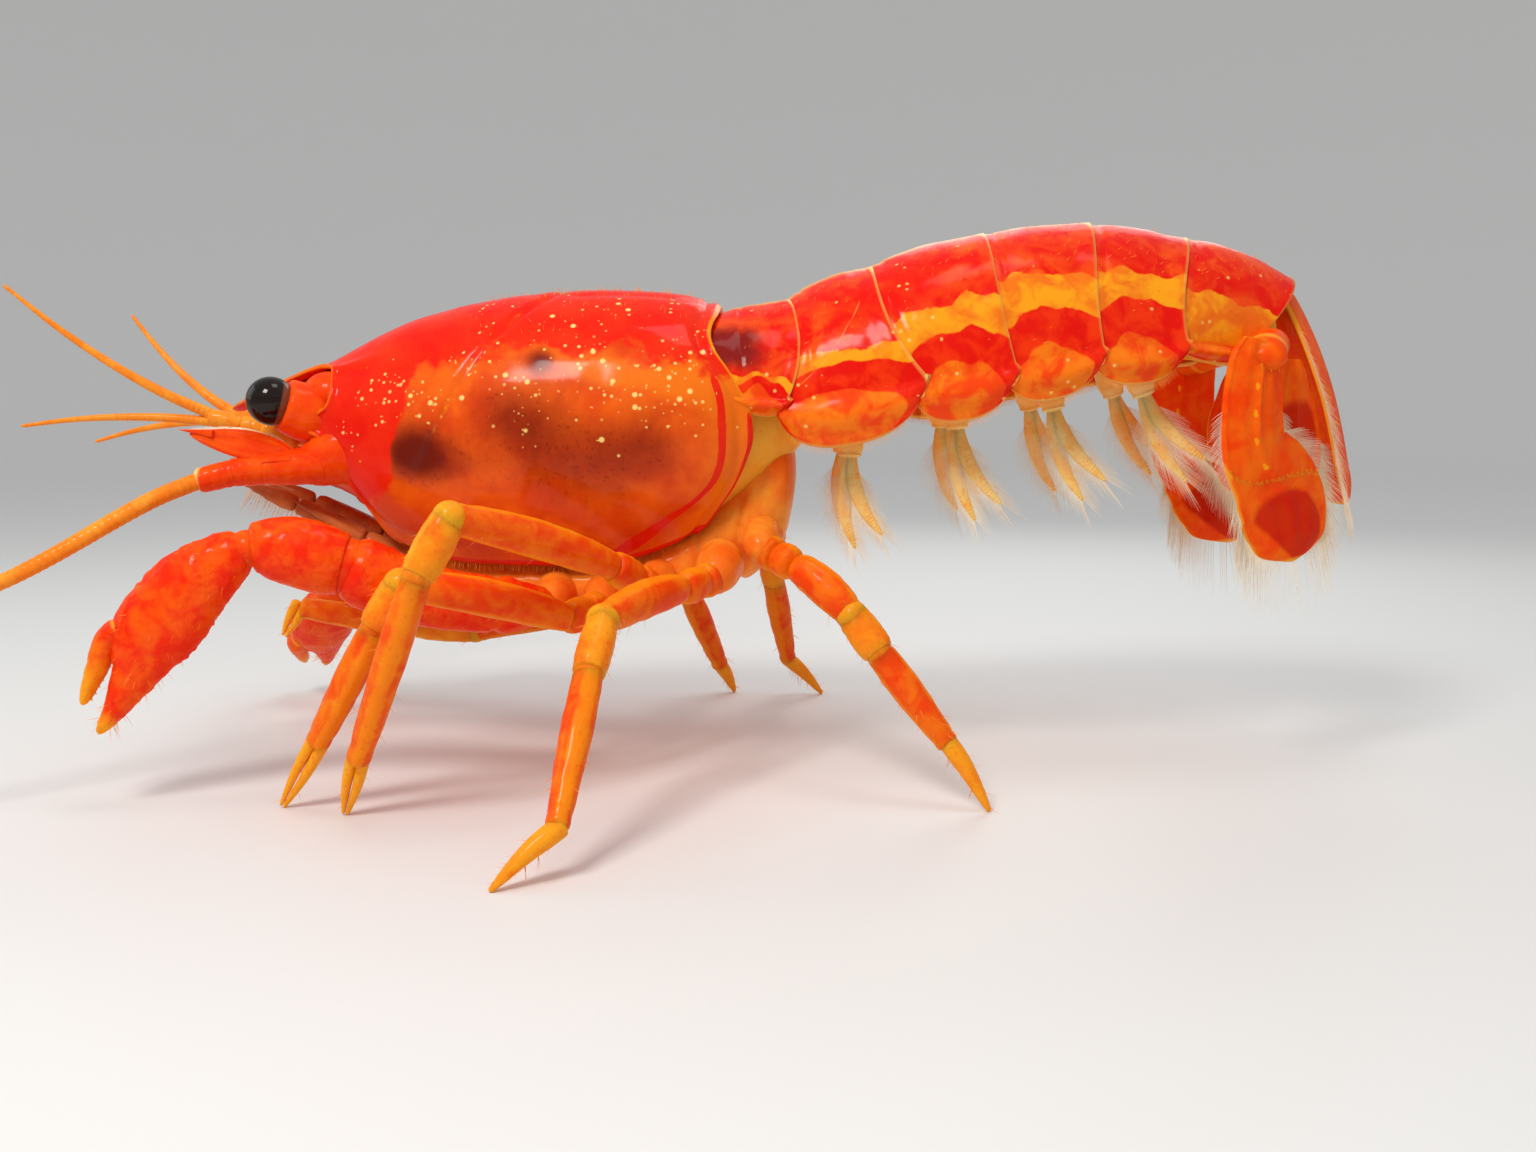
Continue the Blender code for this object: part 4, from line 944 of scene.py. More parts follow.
def fan_plates():
    """The tail's plates by name."""
    plates = {"telson": Plate([((x - 0.15, 0, z), half) for (x, z), half in TELSON], (1, 0, 0.3), 0.42, 0.3)}
    for word, side in SIDES.items():
        for kind, (table, (offset, y, y_at), wider, face, bend, thick) in FAN_KINDS.items():
            stations = []
            for z, front, rear in table:
                x, half = (front + rear) / 2, (rear - front) / 2
                stations.append((mirrored((x + offset, y - 0.5 * (x - y_at), z), side), half * wider))
            plates[f"tail_{kind}_{word}"] = Plate(stations, mirrored(face, side), bend, thick)
    return plates


FAN_JOINT = 0.62            # share along an outer tail plate at which its last lobe is jointed on
FAN_TEETH = 17              # small spines along that joint
FAN_STUB = [(14.6, 1.6, 12.5), (14.15, 2.6, 12.45), (13.75, 3.35, 12.15), (13.7, 3.5, 11.7)]


def tail_plate(name, plate):
    bm = sketch()
    outer = "outer" in name
    behind = copysign(1, plate.at(0.5, 1).x - plate.at(0.5, -1).x)

    def joint(across):
        return FAN_JOINT + 0.13 * across * behind - 0.02 * across * across

    def paint(s, t, point):
        share, across = spread(s), cos(2 * pi * t)
        rim = 0.8 * bump(abs(across), 1.0, 0.05) + 0.8 * bump(share, 1.0, 0.025)
        inside = 1 - abs(across) ** 3
        if outer:
            past = share - joint(across)
            rim *= 0.3 + 0.7 * eased(-0.05, 0.05, past)
            dark = bump(past, 0.22, 0.16) * (0.7 + 0.5 * bump(across * behind, 0.25, 0.5)) * inside * 1.25
            rim += 0.6 * bump(past, 0.0, 0.01)
            row = bump(((share - 0.14) * 9.0) % 1.0, 0.5, 0.16) * (0.14 < share < 0.56)
            dots = 1.25 * row * bump(across, -0.1 * behind, 0.07)
        else:
            dark, dots = bump(share, 0.5, 0.28) * inside * (0.95 if "inner" in name else 0.2), 0.0
        return {"rim": rim, "cloud": dark, "dotty": dots}

    plate.draw(bm, 90, 64, paint)
    if outer:
        for k, across in enumerate(evenly(-0.92, 0.92, FAN_TEETH)):
            at = joint(across) - 0.012
            way = plate.at(at + 0.06, across, 1) - plate.at(at, across, 1)
            for face in (1, -1):
                start = plate.at(at, across, face * 0.9)
                cone(bm, start, start + way.normalized() * (0.2 + 0.05 * (k % 2)), 0.055, tint=0.4)
        side = -1 if name.endswith("left") else 1
        limb(bm, Path(mirrored_all(FAN_STUB, side)),
             [(0, 0.45, 0.42), (0.4, 0.5, 0.5), (0.7, 0.58, 0.5), (0.88, 0.62, 0.42), (1, 0.55, 0.26)],
             rows=36, sides=28, ends=(0.15, 0.4), paint=ring_line(0.7, 0.62, 0.04))
        for k in range(3):
            root = mirrored((13.55 + 0.25 * k, 3.72 - 0.08 * k, 11.95), side)
            cone(bm, root, root + Vector((0.05, 0.05 * side, -0.25)), 0.05, tint=0.4)
    if name == "telson":
        for side in SIDES.values():
            for k, reach in enumerate((0.34, 0.26)):
                root = plate.at(0.62, side * (0.93 - 0.12 * k), 1)
                cone(bm, root, root + Vector((0.14, 0.1 * side, -reach)), 0.07)
    piece(f"fan_{name}", bm, FAN, [name])


# Walking legs: base, end of the short first piece, knee, ends of the carpus and propodus, foot
WALKING_LEGS = {
    "leg_2_left": [(-4.75, -2.7, 5.12), (-5.4, -4.45, 4.95), (-9.55, -6.6, 6.2), (-10.25, -6.7, 5.0),
                   (-11.75, -6.2, 2.3), (-13.14, -5.75, 0.0)],
    "leg_2_right": [(-4.75, 2.7, 5.12), (-5.6, 4.5, 3.95), (-10.0, 5.1, 3.15), (-12.0, 4.7, 3.4),
                    (-15.5, 4.0, 4.35), (-16.2, 4.0, 3.1)],
    "leg_3_left": [(-3.2, -2.85, 5.5), (-4.15, -4.6, 6.42), (-7.9, -8.1, 8.05), (-8.65, -8.55, 6.6),
                   (-10.6, -7.05, 1.95), (-11.24, -6.45, 0.0)],
    "leg_3_right": [(-3.2, 2.85, 5.5), (-4.6, 4.4, 5.9), (-11.4, 6.9, 7.3), (-12.1, 7.3, 5.9),
                    (-13.9, 8.0, 1.5), (-14.39, 8.1, 0.0)],
    "leg_4_left": [(-1.4, -3.1, 6.0), (-2.3, -4.8, 5.86), (-4.15, -7.9, 5.45), (-4.38, -9.2, 4.3),
                   (-4.85, -11.7, 1.15), (-6.24, -12.6, 0.0)],
    "leg_4_right": [(-1.4, 3.1, 6.0), (-2.2, 4.6, 6.0), (-3.1, 6.4, 5.6), (-2.85, 7.3, 4.2),
                    (-1.75, 9.3, 1.1), (-1.25, 9.95, 0.0)],
    "leg_5_left": [(-0.15, -2.8, 6.75), (0.7, -3.75, 6.4), (2.3, -4.75, 5.1), (3.05, -5.15, 4.1),
                   (4.9, -5.8, 1.7), (5.94, -6.17, 0.0)],
    "leg_5_right": [(-0.15, 2.8, 6.75), (0.15, 4.0, 6.6), (0.1, 5.9, 5.9), (0.2, 6.8, 4.6),
                    (0.75, 8.95, 1.4), (2.03, 9.58, 0.0)],
}
PINCERS = ("leg_2", "leg_3")


def joint_relief(collar=0.01, dent=0.02):
    """A raised collar near a segment's far end with a dent before it, and slight unevenness."""
    def relief(share, angle):
        uneven = 0.02 * ripple_round(share * 6, angle, 1.2, 0.6)
        return collar * bump(share, 0.955, 0.022) - dent * bump(share, 0.9, 0.03) + uneven
    return relief


def leg_segment(bm, start, end, radii, bow=0.0, tint=0.0):
    """One leg segment with a snug root, a belly and a collared far end."""
    rise = Vector((0, 0, bow))
    middle = start.lerp(end, 0.5) + rise
    path = Path([start, start.lerp(middle, 0.5) + rise * 0.25, middle,
                 middle.lerp(end, 0.5) + rise * 0.25, end], up=(0.3, 0.2, 1))
    profile = [(share, r * 0.92, r) for share, r in zip(evenly(0, 1, len(radii)), radii)]
    limb(bm, path, profile, rows=34, sides=22, relief=joint_relief(), ends=(0.16, 0.14), tint=tint,
         paint=ring_line(0.4, 0.965, 0.015, by_share=True))


def walking_leg(name, joints):
    root, short, knee, carpus, shank, foot = (Vector(p) for p in joints)
    upper, lower = sketch(), sketch()
    leg_segment(upper, root.lerp(short, 0.12), root.lerp(short, 0.5), [0.42, 0.5, 0.5, 0.46], tint=0.35)
    leg_segment(upper, root.lerp(short, 0.46), short.lerp(knee, 0.03), [0.4, 0.47, 0.5, 0.48, 0.44],
                tint=0.25)
    leg_segment(upper, short, knee, [0.36, 0.46, 0.5, 0.52, 0.5, 0.46, 0.4], bow=0.12, tint=0.15)
    ahead = (carpus - knee).normalized()
    leg_segment(lower, knee - ahead * 0.2, carpus, [0.4, 0.46, 0.49, 0.49, 0.45], tint=0.5)
    ball(lower, knee, 0.44, tint=0.62)
    ball(lower, carpus, 0.38, tint=0.45)
    wrist = carpus - (shank - carpus).normalized() * 0.12
    stands = foot.z < 0.01
    if name.startswith(PINCERS):
        toe = (foot - shank).normalized()
        palm_end = shank.lerp(foot, 0.22)
        leg_segment(lower, wrist, palm_end, [0.4, 0.43, 0.45, 0.44, 0.41, 0.38, 0.33], tint=0.3)
        across = toe.cross(Vector((0, 1, 0))).normalized()
        for way in (1, -1):
            hinge = palm_end + across * 0.15 * way - toe * 0.2
            tip = foot + across * 0.05 * way + Vector((0, 0, 0.03 if stands else 0))
            middle = hinge.lerp(tip, 0.5) + across * 0.04 * way
            limb(lower, Path([hinge, middle, tip], up=(0, 1, 0)),
                 [(0, 0.17, 0.19), (0.3, 0.15, 0.19), (0.7, 0.1, 0.13), (1, 0.045, 0.05)],
                 rows=24, sides=14, ends=(0.1, 0.08), tint=0.7 if way > 0 else 0.95)
    else:
        leg_segment(lower, wrist, shank, [0.4, 0.42, 0.44, 0.42, 0.38, 0.34, 0.3], tint=0.12)
        toe = shank.lerp(foot, -0.12)
        middle = toe.lerp(foot, 0.5) + Vector((0, 0, 0.12))
        path = Path([toe, middle, foot + Vector((0, 0, 0.04))], up=(0, 1, 0))
        limb(lower, path, [(0, 0.26, 0.28), (0.25, 0.26, 0.28), (0.6, 0.19, 0.2), (0.85, 0.12, 0.12),
                           (1, 0.06, 0.06)], rows=28, sides=16, ends=(0.12, 0.06), tint=0.6)
    if stands:
        lowest = min(v.co.z for v in lower.verts)
        for vert in lower.verts:
            vert.co.z -= lowest * (1 - eased(0.0, 1.5, vert.co.z))
    leg_hairs(name, [(short, knee, 0.48), (knee, carpus, 0.46), (carpus, shank, 0.42), (shank, foot, 0.24)])
    piece(f"{name}_thigh", upper, LEG, [f"{name}_upper"])
    piece(f"{name}_shin", lower, LEG, [f"{name}_lower"])


# Claw-bearing legs: the arm's and wrist's stations, the hand's joint, its tip and the moving finger's side
CLAW_ARMS = {
    "left": {"arm": [((-6.15, -2.6, 5.1), 0.46), ((-6.5, -3.1, 5.15), 0.55), ((-7.3, -3.75, 5.25), 0.76),
                     ((-8.8, -4.15, 5.45), 0.84), ((-10.2, -4.45, 5.85), 0.92), ((-11.1, -4.68, 6.3), 0.94),
                     ((-11.55, -4.8, 6.5), 0.8)],
             "wrist": [((-11.45, -4.8, 6.5), 0.82), ((-12.0, -4.9, 6.65), 0.95), ((-12.6, -5.0, 6.85), 0.96),
                       ((-13.2, -5.1, 6.97), 0.88), ((-13.6, -5.2, 7.02), 0.74), ((-13.95, -5.3, 7.0), 0.56)],
             "hand": (-13.77, -5.35, 6.99), "tip": (-17.85, -6.1, 2.12), "finger_side": (-1.0, 0.05, 0.85)},
    "right": {"arm": [((-6.15, 2.6, 5.1), 0.46), ((-6.6, 3.1, 5.0), 0.55), ((-7.6, 3.6, 4.85), 0.7),
                      ((-9.4, 4.1, 4.85), 0.78), ((-11.0, 4.5, 5.05), 0.84), ((-12.2, 4.8, 5.2), 0.82),
                      ((-12.7, 4.95, 5.25), 0.7)],
              "wrist": [((-12.7, 4.95, 5.25), 0.6), ((-13.2, 5.1, 5.3), 0.86), ((-13.8, 5.4, 5.1), 0.88),
                        ((-14.2, 5.8, 4.8), 0.74), ((-14.45, 6.1, 4.5), 0.5)],
              "hand": (-14.4, 6.0, 4.55), "tip": (-16.85, 10.5, 1.0), "finger_side": (-1.0, -0.35, -0.1)},
}
# The hand, from its joint to the fixed finger's tip: distance along, offset to the moving finger's
# side, half width, half depth
HAND = [(0.0, 0.2, 0.42, 0.4), (0.4, 0.33, 0.66, 0.52), (1.05, 0.48, 0.86, 0.63), (1.6, 0.6, 1.0, 0.7),
        (2.1, 0.64, 1.07, 0.73), (2.65, 0.61, 1.11, 0.73), (3.3, 0.6, 1.1, 0.69), (3.8, 0.52, 1.0, 0.62),
        (4.15, 0.4, 0.84, 0.55), (4.5, 0.28, 0.64, 0.47), (5.0, 0.18, 0.48, 0.4), (5.55, 0.08, 0.32, 0.31),
        (6.0, 0.03, 0.2, 0.22), (6.38, 0.0, 0.08, 0.1)]
FINGER = [(3.7, 1.3, 0.3, 0.44), (4.1, 1.37, 0.36, 0.46), (4.5, 1.32, 0.34, 0.43), (4.9, 1.18, 0.29, 0.38),
          (5.4, 1.02, 0.23, 0.3), (5.75, 0.9, 0.17, 0.2), (6.05, 0.8, 0.07, 0.09)]
CLAW_TEETH = 9              # on each of a claw's two fingers


def by_length(stations):
    """A path's points and its profile from stations of (centre, half width, half height)."""
    points = [station[0] for station in stations]
    marks = distances(points)
    return points, [(mark / marks[-1], station[1], station[2]) for mark, station in zip(marks, stations)]


def claw_leg(word, joints):
    side = SIDES[word]
    arm, wrist, hand_mesh, finger = sketch(), sketch(), sketch(), sketch()
    points, profile = by_length([(p, r * 0.94, r) for p, r in joints["arm"]])

    def arm_relief(share, angle):
        knobs = 0.035 * ripple_round(share * 22, angle, 3, 1.0)
        seam = -0.09 * bump(share, 0.32, 0.012) + 0.05 * bump(share, 0.27, 0.03)
        return knobs + seam - 0.02 * bump(share, 0.95, 0.02)

    limb(arm, Path(points), profile, rows=90, sides=40, relief=arm_relief, ends=(0.25, 0.3), tint=0.12,
         paint=ring_line(0.42, 0.985, 0.01, by_share=True))
    points, profile = by_length([(p, r * 0.96, r) for p, r in joints["wrist"]])
    path = Path(points)
    ball(wrist, points[0], profile[1][1] * 0.84, tint=0.25)
    ball(wrist, points[-1], profile[-1][1] * 0.95, tint=0.3)

    def wrist_relief(share, angle):
        knobs = 0.03 * ripple_round(share * 9, angle, 3, 0.9)
        groove = -0.09 * bump(sin(angle - 1.25), 0, 0.12) * (cos(angle - 1.25) > 0)
        return knobs + groove * bump(share, 0.5, 0.35) + 0.03 * bump(share, 0.93, 0.03)

    limb(wrist, path, profile, rows=50, sides=40, relief=wrist_relief, ends=(0.1, 0.2), tint=0.18,
         paint=ring_line(0.42, 0.93, 0.02, by_share=True))
    inward = Vector((-0.35, -side * 0.9, 0.2)).normalized()
    for spine_at in (0.55, 0.8):
        base = path.at(spine_at)[0]
        cone(wrist, base + inward * 0.62, base + inward * 1.08, 0.16, 8, tint=0.3)

    hand, tip = Vector(joints["hand"]), Vector(joints["tip"])
    ahead = (tip - hand).normalized()
    across = Vector(joints["finger_side"])
    across = (across - ahead * across.dot(ahead)).normalized()
    through = ahead.cross(across).normalized()
    scale = (tip - hand).length / HAND[-1][0]

    def stations(table):
        return [(hand + (ahead * s + across * t) * scale, half * scale, deep * scale)
                for s, t, half, deep in table]

    def hand_relief(share, angle):
        knobs = 0.03 * ripple_round(share * 30, angle, 4, 1.1)
        knobs += 0.02 * ripple_round(share * 30, angle, 4, 0.35)
        inner = bump(sin(angle), 0, 0.35)
        return knobs + inner * 0.03 * (sin(share * 95) > 0.2) * bump(share, 0.4, 0.3)

    def hand_paint(s, t, point):
        share = spread(s)
        return {"tint": eased(0.80, 1.0, share) * 0.75, "rim": 0.6 * bump(share, 0.01, 0.015)}

    points, profile = by_length(stations(HAND))
    palm = Path(points, up=tuple(through), steps=120)
    limb(hand_mesh, palm, profile, rows=110, sides=48, relief=hand_relief, ends=(0.25, 0.12),
         paint=hand_paint)
    points, profile = by_length(stations(FINGER))
    dactyl = Path(points, up=tuple(through))
    limb(finger, dactyl, profile, rows=60, sides=32, ends=(0.2, 0.1),
         relief=lambda share, angle: 0.015 * ripple_round(share * 12, angle, 2, 1.0),
         paint=lambda s, t, p: {"tint": 0.15 + 0.7 * s, "rim": 0.7 * bump(s, 0.14, 0.05)})
    outline = [(row[0], row[1] + row[2]) for row in HAND]
    for k in range(CLAW_TEETH):
        share = 0.2 + 0.085 * k
        at, along_way, _, _ = dactyl.at(share)
        width = along(column(profile, 1), share)
        root = at - across * width * 0.93
        cone(finger, root + across * 0.05, root - across * 0.075 + along_way * 0.02, 0.06, 6, tint=0.8)
        reach = 4.35 + 0.19 * k
        root = hand + (ahead * reach + across * (along(outline, reach) - 0.05)) * scale
        cone(hand_mesh, root - across * 0.03, root + across * 0.1, 0.065, 6, tint=0.7)
    for part, mesh in (("arm", arm), ("wrist", wrist), ("hand", hand_mesh), ("finger", finger)):
        piece(f"{part}_{word}", mesh, CLAW, [f"claw_{part}_{word}"])
    claw_hairs(word, palm, stations(HAND))


# Head

CHEEK = [(-11.4, 1.3, 9.4), (-12.3, 1.75, 9.4), (-13.0, 1.95, 9.15), (-13.5, 2.1, 9.02)]
JAW = [(-11.2, 0.7, 8.6), (-11.8, 0.7, 8.3), (-12.3, 0.45, 8.05)]


def face():
    """The front of the head under the beak: ridge, mouth frame, jaws and the antennae's sockets."""
    bm = sketch()
    path = Path([(-11.6, 0, 11.1), (-13.0, 0, 10.95), (-14.3, 0, 10.65), (-15.6, 0, 10.62)])
    limb(bm, path, [(0, 0.95, 1.25), (0.35, 0.8, 0.95), (0.7, 0.6, 0.56), (1, 0.25, 0.14)], rows=40, sides=28)
    path = Path([(-10.8, 0, 8.7), (-12.4, 0, 9.15), (-13.4, 0, 9.25), (-14.15, 0, 9.3)])
    limb(bm, path, [(0, 2.2, 1.5), (0.4, 2.0, 1.05), (0.75, 1.35, 0.8), (1, 0.4, 0.35)], rows=50, sides=40,
         ends=(0.3, 0.35), relief=lambda s, a: 0.04 * ripple_round(s * 8, a, 3, 1.0))
    for side in SIDES.values():
        limb(bm, Path(mirrored_all(CHEEK, side)),
             [(0, 0.9, 1.1), (0.4, 0.78, 0.95), (0.75, 0.62, 0.72), (1, 0.5, 0.52)],
             rows=36, sides=32, ends=(0.3, 0.3), relief=lambda s, a: 0.03 * ripple_round(s * 4, a, 2, 0.8))
        ball(bm, mirrored((-13.35, 0.72, 9.85), side), 0.5, (1.3, 0.8, 0.8), 24, 16)
        ball(bm, mirrored((-12.75, 1.4, 11.1), side), 0.8, (1.0, 0.85, 0.85), 32, 22)
        limb(bm, Path(mirrored_all(JAW, side)), [(0, 0.5, 0.6), (0.5, 0.4, 0.5), (1, 0.2, 0.26)], rows=28,
             sides=24, ends=(0.3, 0.25))
    piece("face", bm, ORANGE_SHELL, ["head"])


def eye(word, side):
    centre = mirrored(EYE_CENTRE, side)
    root = mirrored((-12.75, 1.3, 10.35), side)
    ahead = (centre - root).normalized()
    cornea, stalk = sketch(), sketch()
    made = ball(cornea, (0, 0, 0), EYE_RADIUS, (1, 1, 1), 64, 40)
    rim = cornea.verts.layers.float["rim"]
    for vert in made:
        vert[rim] = eased(-0.12, -0.4, vert.co.z / EYE_RADIUS)
    turn = mirrored((-0.95, 0.42, 0.28), side).to_track_quat("Z", "Y").to_matrix().to_4x4()
    bmesh.ops.transform(cornea, matrix=Matrix.Translation(centre) @ turn, verts=made)
    piece(f"cornea_{word}", cornea, EYE, [f"eye_{word}"])
    path = Path([root, root + ahead * 0.3, root + ahead * 0.6, root.lerp(centre, 0.62),
                 centre - ahead * 0.26])
    profile = [(0, 0.72, 0.72), (0.3, 0.86, 0.82), (0.55, 0.88, 0.84), (0.75, 0.82, 0.8), (0.93, 0.74, 0.74),
               (1, 0.6, 0.6)]
    limb(stalk, path, profile, rows=44, sides=40, ends=(0.3, 0.12), paint=ring_line(0.5, 0.9, 0.05),
         relief=lambda s, a: 0.02 * ripple_round(s * 3, a, 2, 0.8))
    piece(f"stalk_{word}", stalk, ORANGE_SHELL, [f"eye_stalk_{word}"])


def whip(bm, points, thick, thin, rings, tint=0.2):
    """A feeler's whip of many small rings, with four rows of mesh to each."""
    depth = 0.05 * (thick + thin) / 2
    radii = [thick + (thin - thick) * share ** 1.2 for share in evenly(0, 1, 9)]
    limb(bm, Path(points, steps=rings * 4), list(zip(evenly(0, 1, 9), radii)),
         rows=rings * 4, sides=9, ends=(0.05, 0.1), tint=tint,
         relief=lambda share, angle: depth * (cos(2 * pi * rings * share) - 0.3))


# A small feeler's base: segments from and to a share of its way, with their radius
ANTENNULE_BASE = [(0.0, 0.42, 0.5), (0.36, 0.64, 0.4), (0.6, 1.0, 0.34)]


def antennule(word, side, outer_tip, inner_tip):
    bm = sketch()
    root, end = mirrored((-13.9, 0.72, 9.8), side), mirrored((-16.5, 0.98, 10.45), side)
    for start, stop, radius in ANTENNULE_BASE:
        path = Path([root.lerp(end, start), root.lerp(end, (start + stop) / 2) + Vector((0, 0, 0.03)),
                     root.lerp(end, stop)])
        limb(bm, path, [(0, radius * 0.7, radius * 0.7), (0.3, radius * 0.82, radius * 0.78),
                        (0.85, radius * 0.8, radius * 0.78), (1, radius * 0.7, radius * 0.7)],
             rows=28, sides=20, relief=joint_relief(0.012, 0.01), ends=(0.12, 0.1), tint=0.2,
             paint=ring_line(0.4, 0.86, 0.03))
    start = root.lerp(end, 0.94)
    for tip, lift, bow, thick, rings in ((outer_tip, 0.1, -0.35, 0.17, 44), (inner_tip, -0.1, 0.2, 0.15, 38)):
        start_at = start + Vector((0, 0, lift))
        points = [start_at.lerp(Vector(tip), q) + Vector((0, 0, bow)) * 4 * q * (1 - q)
                  for q in evenly(0, 1, 5)]
        whip(bm, points, thick, 0.05, rings)
    piece(f"small_feeler_{word}", bm, FEELER, [f"antennule_{word}"])


LONG_FEELER_ROUTES = {
    "left": [(-17.0, -4.1, 8.19), (-20.0, -6.5, 6.22), (-24.0, -10.2, 4.5), (-28.0, -13.6, 4.2),
             (-31.5, -16.2, 4.9)],
    "right": [(-16.7, 4.3, 8.8), (-17.0, 6.8, 9.2), (-15.0, 10.5, 9.5), (-9.5, 13.8, 9.3), (-4.0, 15.3, 8.7),
              (-1.2, 15.6, 8.4)],
}
SMALL_FEELER_TIPS = {
    "left": ((-21.5, -2.5, 14.16), (-21.6, -1.8, 10.2)),
    "right": ((-19.7, 1.6, 13.56), (-21.1, 1.7, 9.65)),
}
# A long feeler's base: segments from root to end, as (start, end, two radii), given for the right side
ANTENNA_BASE = [((-12.75, 1.95, 9.1), (-14.5, 2.55, 8.98), 0.58, 0.46),
                ((-14.2, 2.45, 9.0), (-15.3, 2.88, 8.9), 0.46, 0.39),
                ((-15.05, 2.8, 8.93), (-16.1, 3.2, 8.67), 0.39, 0.35)]
# The scale beside it, as (centre, half width)
SCALE_BLADE = [((-13.6, 2.3, 9.3), 0.26), ((-14.1, 2.45, 9.55), 0.42), ((-14.7, 2.6, 9.72), 0.5),
               ((-15.3, 2.75, 9.84), 0.42), ((-15.8, 2.85, 9.92), 0.26), ((-16.3, 2.92, 10.0), 0.05)]


def antenna(word, side, route):
    base, lash = sketch(), sketch()
    for start, end, thick, thin in ANTENNA_BASE:
        middle = (thick + thin) / 2
        limb(base, straight(mirrored(start, side), mirrored(end, side)),
             [(0, thick * 0.97, thick * 0.95), (0.5, middle, middle), (1, thin, thin * 0.98)],
             rows=32, sides=26, relief=joint_relief(0.0, 0.01), ends=(0.12, 0.14), tint=0.1,
             paint=lambda s, t, p: {"rim": 0.3 * bump(s, 0.9, 0.03) + 0.7 * eased(-15.75, -16.0, p.x)})
    blade = Plate([(mirrored(p, side), half) for p, half in SCALE_BLADE], mirrored((0.1, 0.75, 0.62), side),
                  bend=0.2, thick=0.2)
    upper = copysign(1, blade.at(0.5, 1).z - blade.at(0.5, -1).z)
    blade.draw(base, 50, 28, lambda s, t, p: {"rim": bump(cos(2 * pi * t), upper, 0.12)})
    cone(base, mirrored((-15.6, 2.98, 10.0), side), mirrored((-16.55, 2.98, 10.12), side), 0.13, 8, tint=0.9)
    cone(base, mirrored((-13.6, 2.62, 9.25), side), mirrored((-14.3, 2.95, 9.2), side), 0.12, 8, tint=0.9)
    piece(f"feeler_base_{word}", base, ORANGE_SHELL, [f"antenna_base_{word}"])
    end = mirrored((-16.0, 3.16, 8.7), side)
    whip(lash, [end, *route], 0.25, 0.055, 105, tint=0.1)
    piece(f"long_feeler_{word}", lash, FEELER, [f"antenna_whip_{word}"])
    scale_fringe(word, blade)


# A jaw leg's joints and how thick it is there
MOUTH_LEG = [((-9.2, 1.3, 5.5), 0.5), ((-12.0, 0.98, 6.8), 0.34), ((-14.0, 0.86, 7.85), 0.25),
             ((-15.6, 0.7, 8.5), 0.1)]


def mouth_leg(word, side):
    bm = sketch()
    points = [mirrored(joint, side) for joint, radius in MOUTH_LEG]
    for k in range(3):
        thick, thin = MOUTH_LEG[k][1], MOUTH_LEG[k + 1][1]
        limb(bm, straight(points[k], points[k + 1]),
             [(0, thick * 0.88, thick * 0.95), (0.3, thick * 0.92, thick * 1.02), (0.85, thin, thin * 1.1),
              (1, thin * 0.92, thin * 0.98)],
             rows=28, sides=20, relief=joint_relief(0.012, 0.012), ends=(0.12, 0.12), tint=0.2,
             paint=ring_line(0.3, 0.86, 0.04))
    rod = [p + Vector((0.1, side * 0.45, 0.12)) for p in points[1:3]]
    limb(bm, straight(*rod), [(0, 0.14), (0.5, 0.12), (1, 0.05)], rows=24, sides=12, ends=(0.1, 0.1))
    piece(f"jaw_leg_{word}", bm, JAW_LEG, [f"mouth_leg_{word}"])
    mouth_comb(word, points)


# Swimmerets

SWIMMERET_ROOTS = {2: (2.4, 10.7), 3: (5.3, 11.5), 4: (7.9, 12.0), 5: (10.3, 12.35)}
SWIMMERET_LEAN = {2: -0.02, 3: 0.12, 4: 0.25, 5: 0.42}     # how far each hangs backwards, as a slope
SWIMMERET_LENGTH = 4.5
SWIMMERET_STALK = 1.3


def swimmeret(index, word, side):
    bm = sketch()
    x, z = SWIMMERET_ROOTS[index]
    root = mirrored((x, 1.7, z + 0.3), side)
    down = Vector((SWIMMERET_LEAN[index], 0.12 * side, -1)).normalized()
    knee = mirrored((x, 1.7, z), side) + down * SWIMMERET_STALK
    path = Path([root, root.lerp(knee, 0.4), knee + down * 0.15], up=(1, 0, 0))
    limb(bm, path, [(0, 0.36, 0.36), (0.4, 0.4, 0.42), (0.8, 0.36, 0.38), (1, 0.3, 0.3)], rows=26, sides=20,
         relief=joint_relief(0.03, 0.02), ends=(0.15, 0.12), tint=0.1)
    blades = []
    back = Vector((0.8, 0, 0.08))
    for spread_by, reach in ((-0.2, 1.0), (0.08, 0.86)):
        way = (down + Vector((spread_by, 0.3 * side * spread_by, 0))).normalized()
        start = knee - way * 0.15
        end = start + way * (SWIMMERET_LENGTH - SWIMMERET_STALK) * (reach - 0.02 * index)
        points = [start, start.lerp(end, 0.35) + back * 0.05, start.lerp(end, 0.7) + back * 0.4, end + back]
        path = Path(points, up=(1, 0, 0))
        profile = [(0, 0.13, 0.16), (0.15, 0.13, 0.2), (0.4, 0.1, 0.22), (0.8, 0.06, 0.14), (1, 0.03, 0.04)]
        limb(bm, path, profile, rows=110, sides=20, ends=(0.1, 0.15), tint=0.3,
             relief=lambda s, a: 0.014 * cos(2 * pi * 30 * s) * eased(0.2, 0.35, s))
        blades.append((path, profile))
    piece(f"paddle_{index}_{word}", bm, PADDLE, [f"swimmeret_{index}_{word}"])
    paddle_fringe(index, word, blades)


# Bristles and fringes: thin solid strands, each with its own small patch of the OFBake map

PATCH = 0.003               # width of a strand's patch on the map


def hair_sketch():
    bm = sketch()
    bm.loops.layers.uv.new("OFBake")
    return bm


